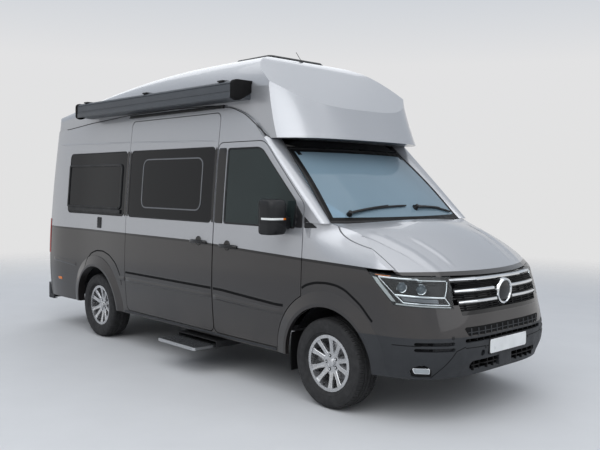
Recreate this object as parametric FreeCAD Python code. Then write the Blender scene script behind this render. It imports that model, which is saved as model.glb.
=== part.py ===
import FreeCAD, Part
import math
import os
from FreeCAD import Vector

# High-roof camper van, millimetres. +X is forward, +Y is the vehicle's left, +Z is up.
# The origin is on the ground, midway along the vehicle.

# Whole vehicle
LENGTH = 5986.0
HEIGHT = 2970.0
MIRROR_WIDTH = 2426.0
WHEELBASE = 3640.0
FRONT_OVERHANG = 996.0
HALF_LENGTH = LENGTH / 2
FRONT_AXLE_X = HALF_LENGTH - FRONT_OVERHANG
REAR_AXLE_X = FRONT_AXLE_X - WHEELBASE

# Clearances
SEAT_GAP = 0.3
SHUT_GAP = 7.0
OVERRUN = 400.0

# Body side: widest at the belt, leaning in above it and tucked in at the sill
BODY_HALF_WIDTH = 1020.0
BELT_Z = 900.0
SILL_Z = 352.0
RAIL_Z = 2460.0
LEAN_IN = 112.0
TUCK_IN = 34.0
LEAN_POWER = 1.6
TUCK_POWER = 2.0
FRONT_TAPER = 60.0
FRONT_TAPER_FROM_X = 800.0
FRONT_TAPER_AT_X = 2400.0
REAR_TAPER = 12.0
REAR_TAPER_FROM_X = -1200.0
SIDE_WALL = 55.0
SIDE_STATION_SHARES = [-0.960, -0.70, -0.40, -0.10, 0.20, 0.35, 0.47, 0.58, 0.69]
SIDE_LEVEL_SHARES = [0.0, 0.13, 0.26, 0.40, 0.55, 0.70, 0.85, 1.0, 1.03]

# Rear end
REAR_DOOR_X = -2938.0
REAR_LEAN = 90.0
REAR_LEAN_FROM_Z = 600.0
POST_SIZE = 135.0
POST_RADIUS = 95.0
REAR_SILL_Z = 545.0
REAR_HEAD_Z = 2310.0
REAR_FRAME_BAND = 60.0
REAR_DOOR_WALL = 48.0
REAR_HINGE_LEVELS = [720.0, 1360.0, 2140.0]
REAR_HINGE_HEIGHT = 70.0
REAR_HINGE_PROUD = 16.0
REAR_HINGE_INSET = 14.0
REAR_HINGE_LEAF = 30.0
REAR_GLASS_LOW_Z = 1420.0
REAR_GLASS_HIGH_Z = 2060.0
REAR_GLASS_MARGIN = 95.0
REAR_GLASS_WIDTH = 640.0
REAR_BUMPER_HEIGHT = 190.0
REAR_BUMPER_DEPTH = 95.0
REAR_BUMPER_RADIUS = 60.0
TAIL_LAMP_LOW_Z = 880.0
TAIL_LAMP_HIGH_Z = 1300.0
TAIL_LAMP_WRAP = 22.0
TAIL_LAMP_PROUD = 8.0

# Side openings, x and z
SLIDE_REAR_X = -993.0
SLIDE_FRONT_X = 553.0
SLIDE_LOW_Z = 392.0
SLIDE_HIGH_Z = 2392.0
SLIDE_CORNER = 60.0
ROLLER_LENGTH = 60.0
ROLLER_HEIGHT = 20.0
ROLLER_INSET = 90.0
DOOR_FRONT_X = 1722.0
DOOR_HIGH_Z = 2116.0
DOOR_SHOULDER_X = 1198.0
DOOR_NOSE_Z = 1592.0
DOOR_BOW = 170.0
DOOR_NOSE_BOW = 80.0
B_POST = 14.0
DOOR_WALL = 60.0
DOOR_HINGE_LEVELS = [950.0, 1330.0]
DOOR_HINGE_HEIGHT = 70.0
DOOR_HINGE_DEPTH = 45.0
DOOR_HINGE_COVER = 6.0
BAND_LOW_Z = 1390.0
BAND_HIGH_Z = 2085.0
QUARTER_REAR_X = -2345.0
QUARTER_FRONT_X = -1045.0
SLIDE_GLASS_MARGIN = 30.0
WINDOW_RADIUS = 55.0
DOOR_GLASS_REAR_X = 700.0
DOOR_GLASS_FRONT_X = 1640.0
GLASS_BROW_Z = 1610.0
GLASS_TOP_X = 1168.0
GLASS_TOP_Z = 2068.0
GLASS_CORNER = 30.0
GLASS_SET_IN = 12.0
GLASS_THICK = 8.0
LEFT_WINDOW_REAR_X = -580.0
LEFT_WINDOW_FRONT_X = 400.0
LEFT_WINDOW_LOW_Z = 1500.0
LEFT_WINDOW_HIGH_Z = 1940.0

# Wheel arches
ARCH_RADIUS = 446.0
FLARE_RADIUS = 566.0
FLARE_PROUD = 26.0
FLARE_LIP = 26.0
FLARE_BITE = 3.0
FLARE_STEPS = 12

# Flaps on the left side
FUEL_FLAP_X = 400.0
FUEL_FLAP_Z = 1010.0
FUEL_FLAP_SIZE = 190.0
SERVICE_FLAP_X = -2440.0
SERVICE_FLAP_Z = 860.0
SERVICE_FLAP_LENGTH = 380.0
SERVICE_FLAP_HEIGHT = 330.0
FLAP_THICK = 22.0
FLAP_CORNER = 30.0

# High roof: a moulded cap with a nose over the windscreen
CAP_WALL = 34.0
CAP_PROUD = 6.0
CAP_SHOULDER_Z = 2480.0
CAP_SIDE_POWER = 3.7
CAP_TOP_POWER = 2.4
CAP_REAR_DROP = 320.0
CAP_CREST_X = 0.0
CAP_REAR_REACH = 2757.0
CAP_REAR_LOW_X = -2866.0
CAP_REAR_HIGH_X = -2796.0
CAP_REAR_HIGH_Z = 2650.0
CAP_REAR_RADIUS = 110.0
CAP_FRONT_X = 1750.0
CAP_SKIRT_Z = 2075.0
BROW_X = 1474.0
BROW_Z = 2421.0
BROW_SLOPE = 0.74
BROW_ROUNDING = 560.0
NOSE_X = 1609.0
NOSE_Z = 2140.0
NOSE_BACK_X = 1150.0
NOSE_PLAN_POWER = 3.6
NOSE_FLOOR_START_X = 1230.0
CAP_SKIRT_SHARES = [0.0, 0.5, 1.0]
CAP_LEVEL_SHARES = [0.0, 0.16, 0.34, 0.52, 0.68, 0.80, 0.90, 1.0]
CAP_STATION_SHARES = [-0.975, -0.82, -0.60, -0.35, -0.10, 0.12, 0.35, 0.60]
CAP_BASE_SHARES = [(-0.990, 0.7990), (-0.815, 0.8047), (-0.647, 0.8205), (-0.342, 0.8345),
                   (-0.067, 0.8367),
                   (0.140, 0.8320), (0.240, 0.8190), (0.300, 0.7975), (0.347, 0.7690), (0.391, 0.7320),
                   (0.414, 0.7205)]

# Roof hatch: a tilting skylight near the crest
HATCH_FRONT_X = 600.0
HATCH_LENGTH = 560.0
HATCH_WIDTH = 760.0
HATCH_THICK = 34.0
HATCH_FRAME = 34.0
HATCH_CORNER = 70.0
HATCH_SINK = 20.0

# Windscreen and the pillars beside it
SCREEN_LOW_X = 1908.0
SCREEN_LOW_Z = 1444.0
SCREEN_LOW_HALF = 871.0
SCREEN_HIGH_X = 1262.0
SCREEN_HIGH_Z = 2065.0
SCREEN_HIGH_HALF = 757.0
SCREEN_LOW_BULGE = 165.0
SCREEN_HIGH_BULGE = 110.0
SCREEN_BOW = 14.0
SCREEN_THICK = 9.0
SCREEN_CROSS_SHARES = [-1.0, -0.75, -0.4, 0.0, 0.4, 0.75, 1.0]
SCREEN_UP_SHARES = [0.25, 0.5, 0.75]
SCREEN_CROSS_POWER = 2.2
SCREEN_REACH_SHARE = 0.3
SCREEN_SLOPE_DEG = 45.0
PILLAR_EDGE_PROUD = 9.0
PILLAR_CREST_PROUD = 34.0
PILLAR_CREST_SHARE = 0.45
PILLAR_HEEL_PROUD = 14.0
PILLAR_HEEL_SHARE = 0.90
PILLAR_SIDE_DEPTH = 22.0
PILLAR_DEPTH = 92.0
PILLAR_STATION_SHARES = [-0.12, 0.2, 0.55, 0.85, 1.13]
HEADER_BACK_X = 1130.0
HEADER_HALF_WIDTH = 800.0
HEADER_MIDDLE_SHARES = [0.78, 0.4]

# Nose: bonnet, wings and bumper share one outer form
NOSE_LEVELS = [338.0, 450.0, 560.0, 660.0, 809.0, 950.0, 1077.0, 1180.0, 1290.0, 1400.0, 1500.0]
NOSE_TIP_SHARES = [0.9780, 0.9930, 1.0, 0.9985, 0.9900, 0.9805, 0.9672, 0.9560, 0.9430, 0.9300, 0.9180]
NOSE_POWERS = [4.0, 4.0, 4.0, 3.7, 3.2, 2.8, 2.5, 2.4, 2.3, 2.3, 2.3]
NOSE_CORNER_X = 2400.0
NOSE_SHOULDER_IN = 300.0
NOSE_SHOULDER_Z = 1110.0
NOSE_SHOULDER_RISE = 340.0
NOSE_SHOULDER_POWER = 1.6
NOSE_WALL = 26.0
NOSE_SIDE_SHARES = [0.45, 0.0]
BONNET_ALONG_SHARES = [0.0, 0.2, 0.4, 0.6, 0.8, 1.0]
BONNET_CROSS_SHARES = [-1.0, -0.6, -0.3, 0.0, 0.3, 0.6, 1.0]
NOSE_ANGLES_DEG = [0.0, 18.0, 36.0, 52.0, 66.0, 78.0, 90.0]
BONNET_REAR_X = 1950.0
BONNET_REAR_Z = 1475.0
BONNET_FRONT_X = 2900.0
BONNET_DROP = 408.0
BONNET_CROWN_REAR = 36.0
BONNET_CROWN_FRONT = 190.0
BONNET_CROWN_HALF = 900.0
BONNET_FRONT_Z = 1080.0
LAMP_TOP_RISE = 36.0
BONNET_CORNER_X = 1945.0
BONNET_CORNER_Y = 862.0
BONNET_REAR_BOW = 165.0
BONNET_HINGE_Y = 770.0
BONNET_HINGE_WIDTH = 50.0
BONNET_HINGE_LENGTH = 70.0
COWL_LOW_Z = 1372.0
COWL_BACK_X = 1795.0
COWL_HALF_WIDTH = 858.0
WING_TOP_Z = 1444.0
GRILLE_TOP_HALF = 566.0
GRILLE_LOW_HALF = 512.0
GRILLE_LOW_Z = 806.0
GRILLE_DEPTH = 46.0
GRILLE_BACK = 16.0
GRILLE_BARS = 4
GRILLE_BAR_HEIGHT = 30.0
GRILLE_RIB_WIDTH = 14.0
GRILLE_RIBS = 7
EMBLEM_RADIUS = 96.0
EMBLEM_THICK = 18.0
EMBLEM_Z = 931.0
LAMP_DEPTH = 90.0
LAMP_VIEW_DEG = -51.5
LAMP_OUTER_TOP = (2372.0, 957.0, 1135.0)
LAMP_OUTER_LOW = (2600.0, 905.0, 884.0)
LAMP_INNER_LOW = (2880.0, 560.0, 858.0)
LAMP_INNER_TOP = (2850.0, 572.0, 1135.0)
BUMPER_SPLIT_Z = 655.0
BUMPER_TOP_Z = 882.0
WING_SPLIT_X = 2590.0
INTAKE_HALF_WIDTH = 450.0
INTAKE_LOW_Z = 405.0
INTAKE_HIGH_Z = 470.0
SLOT_HALF_WIDTH = 520.0
SLOT_LOW_Z = 612.0
SLOT_HIGH_Z = 640.0
SIDE_INTAKE_INNER = 610.0
SIDE_INTAKE_OUTER = 850.0
SIDE_INTAKE_LOW_Z = 560.0
SIDE_INTAKE_HIGH_Z = 585.0
SIDE_INTAKE_STEP = 42.0
FOG_RADIUS = 46.0
FOG_Y = 800.0
FOG_Z = 416.0
TOW_HOLE_RADIUS = 10.5
TOW_HOLE_Y = 330.0
TOW_HOLE_Z = 520.0
TOW_BOSS_RADIUS = 24.0
TOW_BOSS_LENGTH = 120.0

# Wheels: tyre 235/65 on a sixteen inch rim
TYRE_RADIUS = 355.5
TYRE_WIDTH = 235.0
TYRE_BEAD_RADIUS = 206.0
TYRE_SHOULDER = 34.0
TYRE_TREAD_WIDTH = 184.0
RIM_RADIUS = 216.0
RIM_WIDTH = 176.0
RIM_BARREL = 9.0
RIM_LIP = 13.0
SPOKE_PAIRS = 5
SPOKE_PAIR_DEG = 31.0
SPOKE_WIDTH_HUB = 42.0
SPOKE_WIDTH_LIP = 30.0
SPOKE_DEPTH = 26.0
SPOKE_DISH = 24.0
RIM_HUB_RADIUS = 84.0
RIM_HUB_DEPTH = 60.0
HUB_CAP_RADIUS = 36.0
FRONT_TRACK = 1728.0
REAR_TRACK = 1758.0

# Front suspension and steering
KINGPIN_Y = 735.0
KNUCKLE_RADIUS = 30.0
KNUCKLE_LOW_Z = 235.0
KNUCKLE_HIGH_Z = 470.0
HUB_RADIUS = 62.0
STRUT_Y = 650.0
STRUT_RADIUS = 27.0
STRUT_TOP_Z = 800.0
SPRING_RADIUS = 58.0
SPRING_LOW_Z = 590.0
SPRING_HIGH_Z = 780.0
SUBFRAME_HALF_WIDTH = 430.0
SUBFRAME_LENGTH = 420.0
SUBFRAME_Z = 285.0
SUBFRAME_THICK = 60.0
ARM_THICK = 40.0
ARM_WIDTH = 90.0

# Rear axle
AXLE_TUBE_RADIUS = 46.0
LEAF_WIDTH = 70.0
LEAF_THICK = 34.0
LEAF_REACH = 690.0

# Floor
FLOOR_Z = 590.0
FLOOR_THICK = 30.0
FLOOR_HALF_WIDTH = 925.0
FLOOR_REAR_X = -2880.0
FLOOR_FRONT_X = 1740.0
RAIL_HEIGHT = 110.0
RAIL_WIDTH = 80.0
RAIL_Y = 540.0
RAIL_REAR_X = -2850.0
RAIL_FRONT_X = 2560.0
FIREWALL_X = 1790.0
FIREWALL_THICK = 30.0
FIREWALL_TOP_Z = 1371.0
FIREWALL_HALF_WIDTH = 820.0
HOUSE_RADIUS = 456.0
HOUSE_WALL = 10.0
REAR_HOUSE_INNER_Y = 690.0
FRONT_HOUSE_INNER_Y = 545.0

# Awning cassette, high on the right side
AWNING_REAR_X = -1960.0
AWNING_FRONT_X = 955.0
AWNING_LOW_Z = 2474.0
AWNING_HIGH_Z = 2640.0
AWNING_OUTER_Y = 1090.0
AWNING_RADIUS = 40.0
AWNING_DEPTH = 330.0

# Entrance step under the sliding door, drawn out
STEP_REAR_X = -60.0
STEP_LENGTH = 600.0
STEP_OUTER_Y = 1205.0
STEP_DEPTH = 235.0
STEP_TREAD_Z = 262.0
STEP_TREAD_THICK = 26.0
STEP_ARM_WIDTH = 34.0
STEP_ARM_LENGTH = 420.0
STEP_HOUSING_THICK = 5.0
STEP_HOUSING_HEIGHT = 62.0
STEP_HOUSING_DEPTH = 640.0

# Door mirrors
MIRROR_REAR_X = 1440.0
MIRROR_FRONT_X = 1600.0
MIRROR_INNER_Y = 1040.0
MIRROR_LOW_Z = 1330.0
MIRROR_HIGH_Z = 1628.0
MIRROR_ARM_HEIGHT = 48.0
MIRROR_ARM_DEPTH = 80.0
MIRROR_ARM_SWEEP = 110.0
MIRROR_ARM_REACH = 160.0
MIRROR_ROUNDING = 40.0

# Engine bay and underside
ENGINE_LENGTH = 560.0
ENGINE_WIDTH = 620.0
ENGINE_HEIGHT = 560.0
ENGINE_REAR_X = 1960.0
TANK_LENGTH = 900.0
TANK_WIDTH = 380.0
TANK_HEIGHT = 190.0
TANK_REAR_X = -250.0
TANK_Y = 250.0
TANK_RADIUS = 50.0
EXHAUST_RADIUS = 32.0
SILENCER_RADIUS = 90.0
SILENCER_LENGTH = 560.0
EXHAUST_Y = -330.0
EXHAUST_Z = 400.0
EXHAUST_FRONT_X = 1500.0
SILENCER_REAR_X = -700.0

# Cab
DASH_REAR_X = 1330.0
DASH_LOW_Z = 1010.0
DASH_HIGH_Z = 1395.0
DASH_LIP = 110.0
DASH_HALF_WIDTH = 880.0
STEER_WHEEL_Y = 480.0
STEER_WHEEL_X = 1215.0
STEER_WHEEL_Z = 1300.0
STEER_WHEEL_RADIUS = 192.0
STEER_RIM_RADIUS = 15.0
STEER_TILT_DEG = 38.0
STEER_HUB_RADIUS = 62.0
STEER_SPOKE_RADIUS = 12.0
SEAT_Y = 480.0
SEAT_WIDTH = 500.0
SEAT_REAR_X = 560.0
SEAT_DEPTH = 500.0
SEAT_CUSHION_Z = 960.0
SEAT_CUSHION_THICK = 150.0
SEAT_BACK_HEIGHT = 640.0
SEAT_BACK_THICK = 130.0
SEAT_BACK_LEAN = 150.0
SEAT_ROUNDING = 45.0
HEADREST_WIDTH = 260.0
HEADREST_HEIGHT = 190.0

# Living space
UNIT_INSET = 4.0
KITCHEN_REAR_X = -760.0
KITCHEN_LENGTH = 1000.0
KITCHEN_DEPTH = 420.0
KITCHEN_HEIGHT = 880.0
BATH_REAR_X = -1160.0
BATH_LENGTH = 580.0
BATH_DEPTH = 760.0
BATH_HEIGHT = 1700.0
BENCH_REAR_X = -330.0
BENCH_WIDTH = 768.0
BED_REAR_X = -2830.0
BED_LENGTH = 1200.0
BED_Z = 1180.0
BED_THICK = 130.0
BED_ROUNDING = 40.0


KEPT = {}


def half_width(z):
    """Half the body's width at a height, before it narrows to the front and rear"""
    if z > BELT_Z:
        share = (z - BELT_Z) / (RAIL_Z - BELT_Z)
        return BODY_HALF_WIDTH - LEAN_IN * share ** LEAN_POWER
    share = (BELT_Z - z) / (BELT_Z - SILL_Z)
    return BODY_HALF_WIDTH - TUCK_IN * share ** TUCK_POWER


def side_y(x, z):
    """Distance of the outer side skin from the middle plane"""
    narrowing = 0
    if x > FRONT_TAPER_FROM_X:
        narrowing = FRONT_TAPER * ((x - FRONT_TAPER_FROM_X) / (FRONT_TAPER_AT_X - FRONT_TAPER_FROM_X)) ** 2
    if x < REAR_TAPER_FROM_X:
        narrowing = REAR_TAPER * ((x - REAR_TAPER_FROM_X) / (REAR_DOOR_X - REAR_TAPER_FROM_X)) ** 2
    return half_width(z) - narrowing


def nose_side_y(x, z):
    """The wings' side skin: the body side, drawn in above the lamps towards the bonnet"""
    inset = 0
    if z > NOSE_SHOULDER_Z and x > DOOR_FRONT_X:
        rise = ((z - NOSE_SHOULDER_Z) / NOSE_SHOULDER_RISE) ** NOSE_SHOULDER_POWER
        run = (x - DOOR_FRONT_X) / (NOSE_CORNER_X - DOOR_FRONT_X)
        inset = NOSE_SHOULDER_IN * rise * run
    return side_y(x, z) - inset


def rear_x(z):
    """The rear plane, which leans forward towards the roof"""
    return REAR_DOOR_X + REAR_LEAN * (z - REAR_LEAN_FROM_Z) / (RAIL_Z - REAR_LEAN_FROM_Z)


def place(plane, a, b, level):
    """A point given in one of the three main planes"""
    if plane == "xz":
        return Vector(a, level, b)
    if plane == "xy":
        return Vector(a, b, level)
    return Vector(level, a, b)


def rounded_wire(corners, plane, level):
    """A closed outline of straight sides, each corner (a, b, radius) rounded by its own radius"""
    ends = []
    for number, corner in enumerate(corners):
        here = Vector(corner[0], corner[1], 0)
        before = corners[number - 1]
        after = corners[(number + 1) % len(corners)]
        back = (Vector(before[0], before[1], 0) - here).normalize()
        ahead = (Vector(after[0], after[1], 0) - here).normalize()
        radius = corner[2]
        half = back.getAngle(ahead) / 2
        if radius > 0:
            reach = radius / math.tan(half)
            middle = (back + ahead).normalize() * (radius / math.sin(half) - radius)
            ends.append((here + back * reach, here + middle, here + ahead * reach))
        else:
            ends.append((here, here, here))
    edges = []
    for number, end in enumerate(ends):
        start = place(plane, ends[number - 1][2].x, ends[number - 1][2].y, level)
        entry = place(plane, end[0].x, end[0].y, level)
        if start.distanceToPoint(entry) > 0:
            edges.append(Part.LineSegment(start, entry).toShape())
        if corners[number][2] > 0:
            middle = place(plane, end[1].x, end[1].y, level)
            leave = place(plane, end[2].x, end[2].y, level)
            edges.append(Part.Arc(entry, middle, leave).toShape())
    return Part.Wire(edges)


def prism(corners, plane, low, high):
    """A straight bar with a rounded outline"""
    face = Part.Face(rounded_wire(corners, plane, low))
    return face.extrude(place(plane, 0, 0, high - low))


def rectangle(low_a, high_a, low_b, high_b, radius):
    """Corner list of a rectangle with equal corner radii"""
    return [(low_a, low_b, radius), (high_a, low_b, radius), (high_a, high_b, radius),
            (low_a, high_b, radius)]


def block(low, high):
    """A plain box between two corners"""
    size = high.sub(low)
    return Part.makeBox(size.x, size.y, size.z, low)


def grow(corners, reach):
    """Moves an outline's corners away from its middle by the same distance on each axis"""
    middle_a = (max(c[0] for c in corners) + min(c[0] for c in corners)) / 2
    middle_b = (max(c[1] for c in corners) + min(c[1] for c in corners)) / 2
    result = []
    for a, b, radius in corners:
        moved_a = a + math.copysign(reach, a - middle_a)
        moved_b = b + math.copysign(reach, b - middle_b)
        result.append((moved_a, moved_b, radius))
    return result


def spline(points):
    """A smooth curve through the points"""
    curve = Part.BSplineCurve()
    curve.interpolate(points)
    return curve.toShape()


def skin(rows):
    """A smooth face through a grid of points"""
    surface = Part.BSplineSurface()
    surface.interpolate(rows)
    return surface.toShape()


def mirrored(shape):
    """The same shape on the other side of the middle plane"""
    return shape.mirror(Vector(0, 0, 0), Vector(0, 1, 0))


def both(shape):
    """A shape and its mirror image as one compound of two solids"""
    return Part.Compound([shape, mirrored(shape)])


def solids_of(shape):
    """A boolean result as a plain compound of its solids, or the one solid"""
    found = shape.Solids
    if len(found) == 1:
        return found[0]
    return Part.Compound(found)


def side_slab(inset, depth):
    """A slab that follows the right side's outer skin, from an inset inwards by a depth"""
    xs = [share * HALF_LENGTH for share in SIDE_STATION_SHARES]
    zs = [SILL_Z + share * (RAIL_Z - SILL_Z) for share in SIDE_LEVEL_SHARES]
    rows = [[Vector(x, inset - side_y(x, z), z) for z in zs] for x in xs]
    return skin(rows).extrude(Vector(0, depth, 0))


def cap_base_points(lift):
    """The line where the high roof meets the body side"""
    return [Vector(a * HALF_LENGTH, 0, b * HEIGHT + lift) for a, b in CAP_BASE_SHARES]


def below_cap(lift):
    """Everything under the high roof's base line and nose"""
    points = cap_base_points(lift)
    first = points[0]
    last = points[-1]
    nose_z = last.z
    deep = SILL_Z - OVERRUN
    corners = [Vector(CAP_FRONT_X + OVERRUN, 0, nose_z), Vector(CAP_FRONT_X + OVERRUN, 0, deep),
               Vector(first.x - OVERRUN, 0, deep), Vector(first.x - OVERRUN, 0, first.z)]
    edges = [spline(points)]
    loop = [last] + corners + [first]
    for start, end in zip(loop[:-1], loop[1:]):
        edges.append(Part.LineSegment(start, end).toShape())
    face = Part.Face(Part.Wire(edges))
    face.translate(Vector(0, -MIRROR_WIDTH, 0))
    return face.extrude(Vector(0, 2 * MIRROR_WIDTH, 0))


def cap_half_y(x, z, top_z, inset):
    """Half width of the high roof at a height"""
    if z <= CAP_SHOULDER_Z:
        return side_y(x, z) + CAP_PROUD - inset
    base = side_y(x, CAP_SHOULDER_Z) + CAP_PROUD - inset
    rise = min((z - CAP_SHOULDER_Z) / (top_z - CAP_SHOULDER_Z), 1)
    return base * (1 - rise ** CAP_TOP_POWER) ** (1 / CAP_SIDE_POWER)


def cap_section(x, inset):
    """One cross section of the high roof, its foot open and closed by a straight line"""
    drop = 0
    if x < CAP_CREST_X:
        drop = CAP_REAR_DROP * ((x - CAP_CREST_X) / CAP_REAR_REACH) ** 2
    top_z = HEIGHT - HATCH_THICK + HATCH_SINK - drop - inset
    levels = [CAP_SKIRT_Z + share * (CAP_SHOULDER_Z - CAP_SKIRT_Z) for share in CAP_SKIRT_SHARES]
    half = [(cap_half_y(x, z, top_z, inset), z) for z in levels]
    base = half[-1][0]
    for share in CAP_LEVEL_SHARES[1:-1]:
        angle = share * math.pi / 2
        y = base * math.cos(angle) ** (2 / CAP_SIDE_POWER)
        z = CAP_SHOULDER_Z + (top_z - CAP_SHOULDER_Z) * math.sin(angle) ** (2 / CAP_TOP_POWER)
        half.append((y, z))
    points = [Vector(x, -y, z) for y, z in half]
    points.append(Vector(x, 0, top_z))
    points += [Vector(x, y, z) for y, z in reversed(half)]
    curve = spline(points)
    foot = Part.LineSegment(points[-1], points[0]).toShape()
    return Part.Wire([curve, foot])


def nose_plan(inset, z):
    """Plan outline of the high roof's nose at a height, open far to the rear"""
    lean = (NOSE_X - BROW_X) / (BROW_Z - NOSE_Z)
    tip = NOSE_X - lean * (z - NOSE_Z) - inset
    half = side_y(NOSE_BACK_X, NOSE_Z) + CAP_PROUD + SEAT_GAP - inset
    quarter = []
    for degrees in NOSE_ANGLES_DEG:
        angle = math.radians(degrees)
        x = NOSE_BACK_X + (tip - NOSE_BACK_X) * math.cos(angle)
        quarter.append((x, half * math.sin(angle) ** (2 / NOSE_PLAN_POWER)))
    points = [Vector(x, -y, z) for x, y in reversed(quarter)]
    points += [Vector(x, y, z) for x, y in quarter[1:]]
    wide = MIRROR_WIDTH / 2
    corners = [Vector(NOSE_BACK_X, wide, z), Vector(-LENGTH, wide, z), Vector(-LENGTH, -wide, z),
               Vector(NOSE_BACK_X, -wide, z)]
    loop = [points[-1]] + corners + [points[0]]
    edges = [spline(points)]
    for start, end in zip(loop[:-1], loop[1:]):
        edges.append(Part.LineSegment(start, end).toShape())
    return Part.Wire(edges)


def cap_rear_plan(x, z, inset):
    """Plan outline that rounds the high roof's rear corners at a height"""
    half = side_y(x, CAP_SHOULDER_Z) + CAP_PROUD - inset
    radius = CAP_REAR_RADIUS - inset
    return rounded_wire([(x + inset, -half, radius), (CAP_FRONT_X, -half, 0), (CAP_FRONT_X, half, 0),
                         (x + inset, half, radius)], "xy", z)


def cap_form(inset):
    """The high roof's form, the outer one or the inner one set in by the wall"""
    stations = [share * HALF_LENGTH for share in CAP_STATION_SHARES]
    body = Part.makeLoft([cap_section(x, inset) for x in stations], True, False)
    brow_drop = inset * math.hypot(1, BROW_SLOPE)
    crest_z = HEIGHT - HATCH_THICK + HATCH_SINK + SEAT_GAP - inset
    crest_x = BROW_X - (crest_z - BROW_Z + brow_drop) / BROW_SLOPE
    front_z = BROW_Z - brow_drop - BROW_SLOPE * (CAP_FRONT_X - BROW_X)
    low_z = CAP_SKIRT_Z - SIDE_WALL
    outline = [(-LENGTH, low_z, 0), (CAP_FRONT_X, low_z, 0), (CAP_FRONT_X, front_z, 0),
               (crest_x, crest_z, BROW_ROUNDING), (-LENGTH, crest_z, 0)]
    body = body.common(prism(outline, "xz", -MIRROR_WIDTH, MIRROR_WIDTH))
    base_z = CAP_BASE_SHARES[0][1] * HEIGHT
    rear = [(CAP_REAR_LOW_X, low_z), (CAP_REAR_LOW_X, base_z), (CAP_REAR_HIGH_X, CAP_REAR_HIGH_Z),
            (CAP_REAR_HIGH_X, HEIGHT + SIDE_WALL)]
    body = body.common(Part.makeLoft([cap_rear_plan(x, z, inset) for x, z in rear], True, True))
    low_plan = nose_plan(inset, low_z)
    high_plan = nose_plan(inset, HEIGHT + SIDE_WALL)
    return body.common(Part.makeLoft([low_plan, high_plan], True, True))


def hatch_plan(margin):
    """Corner list of the roof hatch in plan, grown by a margin"""
    return rectangle(HATCH_FRONT_X - HATCH_LENGTH - margin, HATCH_FRONT_X + margin,
                     -HATCH_WIDTH / 2 - margin, HATCH_WIDTH / 2 + margin, HATCH_CORNER)


def hatch_seat_z():
    """Height of the hatch's flat seat"""
    return HEIGHT - HATCH_THICK


def roof_cap():
    """The moulded high roof: a thin shell with a floor in its nose and a hole for the hatch"""
    outer = cap_form(0)
    inner = cap_form(CAP_WALL)
    floor_z = NOSE_Z + CAP_WALL
    nose_floor = block(Vector(NOSE_FLOOR_START_X, -MIRROR_WIDTH, 0),
                       Vector(CAP_FRONT_X + OVERRUN, MIRROR_WIDTH, floor_z))
    inner = inner.cut(nose_floor)
    shell = outer.cut(inner).cut(below_cap(SEAT_GAP))
    frame = prism(hatch_plan(HATCH_FRAME - HATCH_FRAME / 2), "xy",
                  hatch_seat_z() - CAP_WALL - HATCH_FRAME,
                  hatch_seat_z() - SEAT_GAP)
    inner_wall = inner.common(frame)
    hole = prism(hatch_plan(-HATCH_FRAME), "xy", hatch_seat_z() - OVERRUN, HEIGHT + OVERRUN)
    above = prism(hatch_plan(SHUT_GAP), "xy", hatch_seat_z() - SEAT_GAP, HEIGHT + OVERRUN)
    shell = shell.fuse(inner_wall).cut(hole).cut(above)
    return solids_of(shell)


def roof_hatch():
    """The skylight's lid, hinged at its front edge"""
    lid = prism(hatch_plan(0), "xy", hatch_seat_z(), HEIGHT)
    top = [edge for edge in lid.Edges if edge.BoundBox.ZMin > HEIGHT - HATCH_THICK / 2]
    return lid.makeFillet(HATCH_THICK / 2, top)


def slide_outline(margin):
    """Corner list of the sliding door in side view"""
    return grow(rectangle(SLIDE_REAR_X, SLIDE_FRONT_X, SLIDE_LOW_Z, SLIDE_HIGH_Z, SLIDE_CORNER), margin)


def door_outline(margin):
    """Corner list of the front door in side view, its lower front corner later cut round the arch"""
    rear = SLIDE_FRONT_X + B_POST - margin
    front = DOOR_FRONT_X + margin
    high = DOOR_HIGH_Z + margin
    slant = margin * math.tan(math.pi / 8)
    return [(rear, SLIDE_LOW_Z - margin, SLIDE_CORNER), (front, SLIDE_LOW_Z - margin, 0),
            (front, DOOR_NOSE_Z + slant, DOOR_NOSE_BOW), (DOOR_SHOULDER_X + slant, high, DOOR_BOW),
            (rear, high, SLIDE_CORNER)]


def door_glass_outline(margin):
    """Corner list of the front door's window"""
    slant = margin * math.tan(math.pi / 8)
    rear = DOOR_GLASS_REAR_X - margin
    front = DOOR_GLASS_FRONT_X + margin
    return [(rear, BAND_LOW_Z - margin, GLASS_CORNER), (front, BAND_LOW_Z - margin, GLASS_CORNER),
            (front, GLASS_BROW_Z + slant, DOOR_NOSE_BOW),
            (GLASS_TOP_X + slant, GLASS_TOP_Z + margin, DOOR_BOW),
            (rear, GLASS_TOP_Z + margin, GLASS_CORNER)]


def quarter_outline(margin):
    """Corner list of the rear side window"""
    shape = rectangle(QUARTER_REAR_X, QUARTER_FRONT_X, BAND_LOW_Z, BAND_HIGH_Z, WINDOW_RADIUS)
    return grow(shape, margin)


def slide_glass_outline(margin):
    """Corner list of the sliding door's window"""
    shape = rectangle(SLIDE_REAR_X + SLIDE_GLASS_MARGIN, SLIDE_FRONT_X - SLIDE_GLASS_MARGIN,
                      BAND_LOW_Z, BAND_HIGH_Z, WINDOW_RADIUS)
    return grow(shape, margin)


def left_window_outline(margin):
    """Corner list of the kitchen window on the left side"""
    shape = rectangle(LEFT_WINDOW_REAR_X, LEFT_WINDOW_FRONT_X, LEFT_WINDOW_LOW_Z, LEFT_WINDOW_HIGH_Z,
                      WINDOW_RADIUS)
    return grow(shape, margin)


def right_prism(corners):
    """A side-view outline run through the right half of the vehicle"""
    return prism(corners, "xz", -MIRROR_WIDTH, 0)


def wheel_cylinder(x, radius, low_y, high_y):
    """A cylinder about an axle, on the right side, between two distances from the middle"""
    return Part.makeCylinder(radius, high_y - low_y, Vector(x, -high_y, TYRE_RADIUS), Vector(0, 1, 0))


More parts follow.
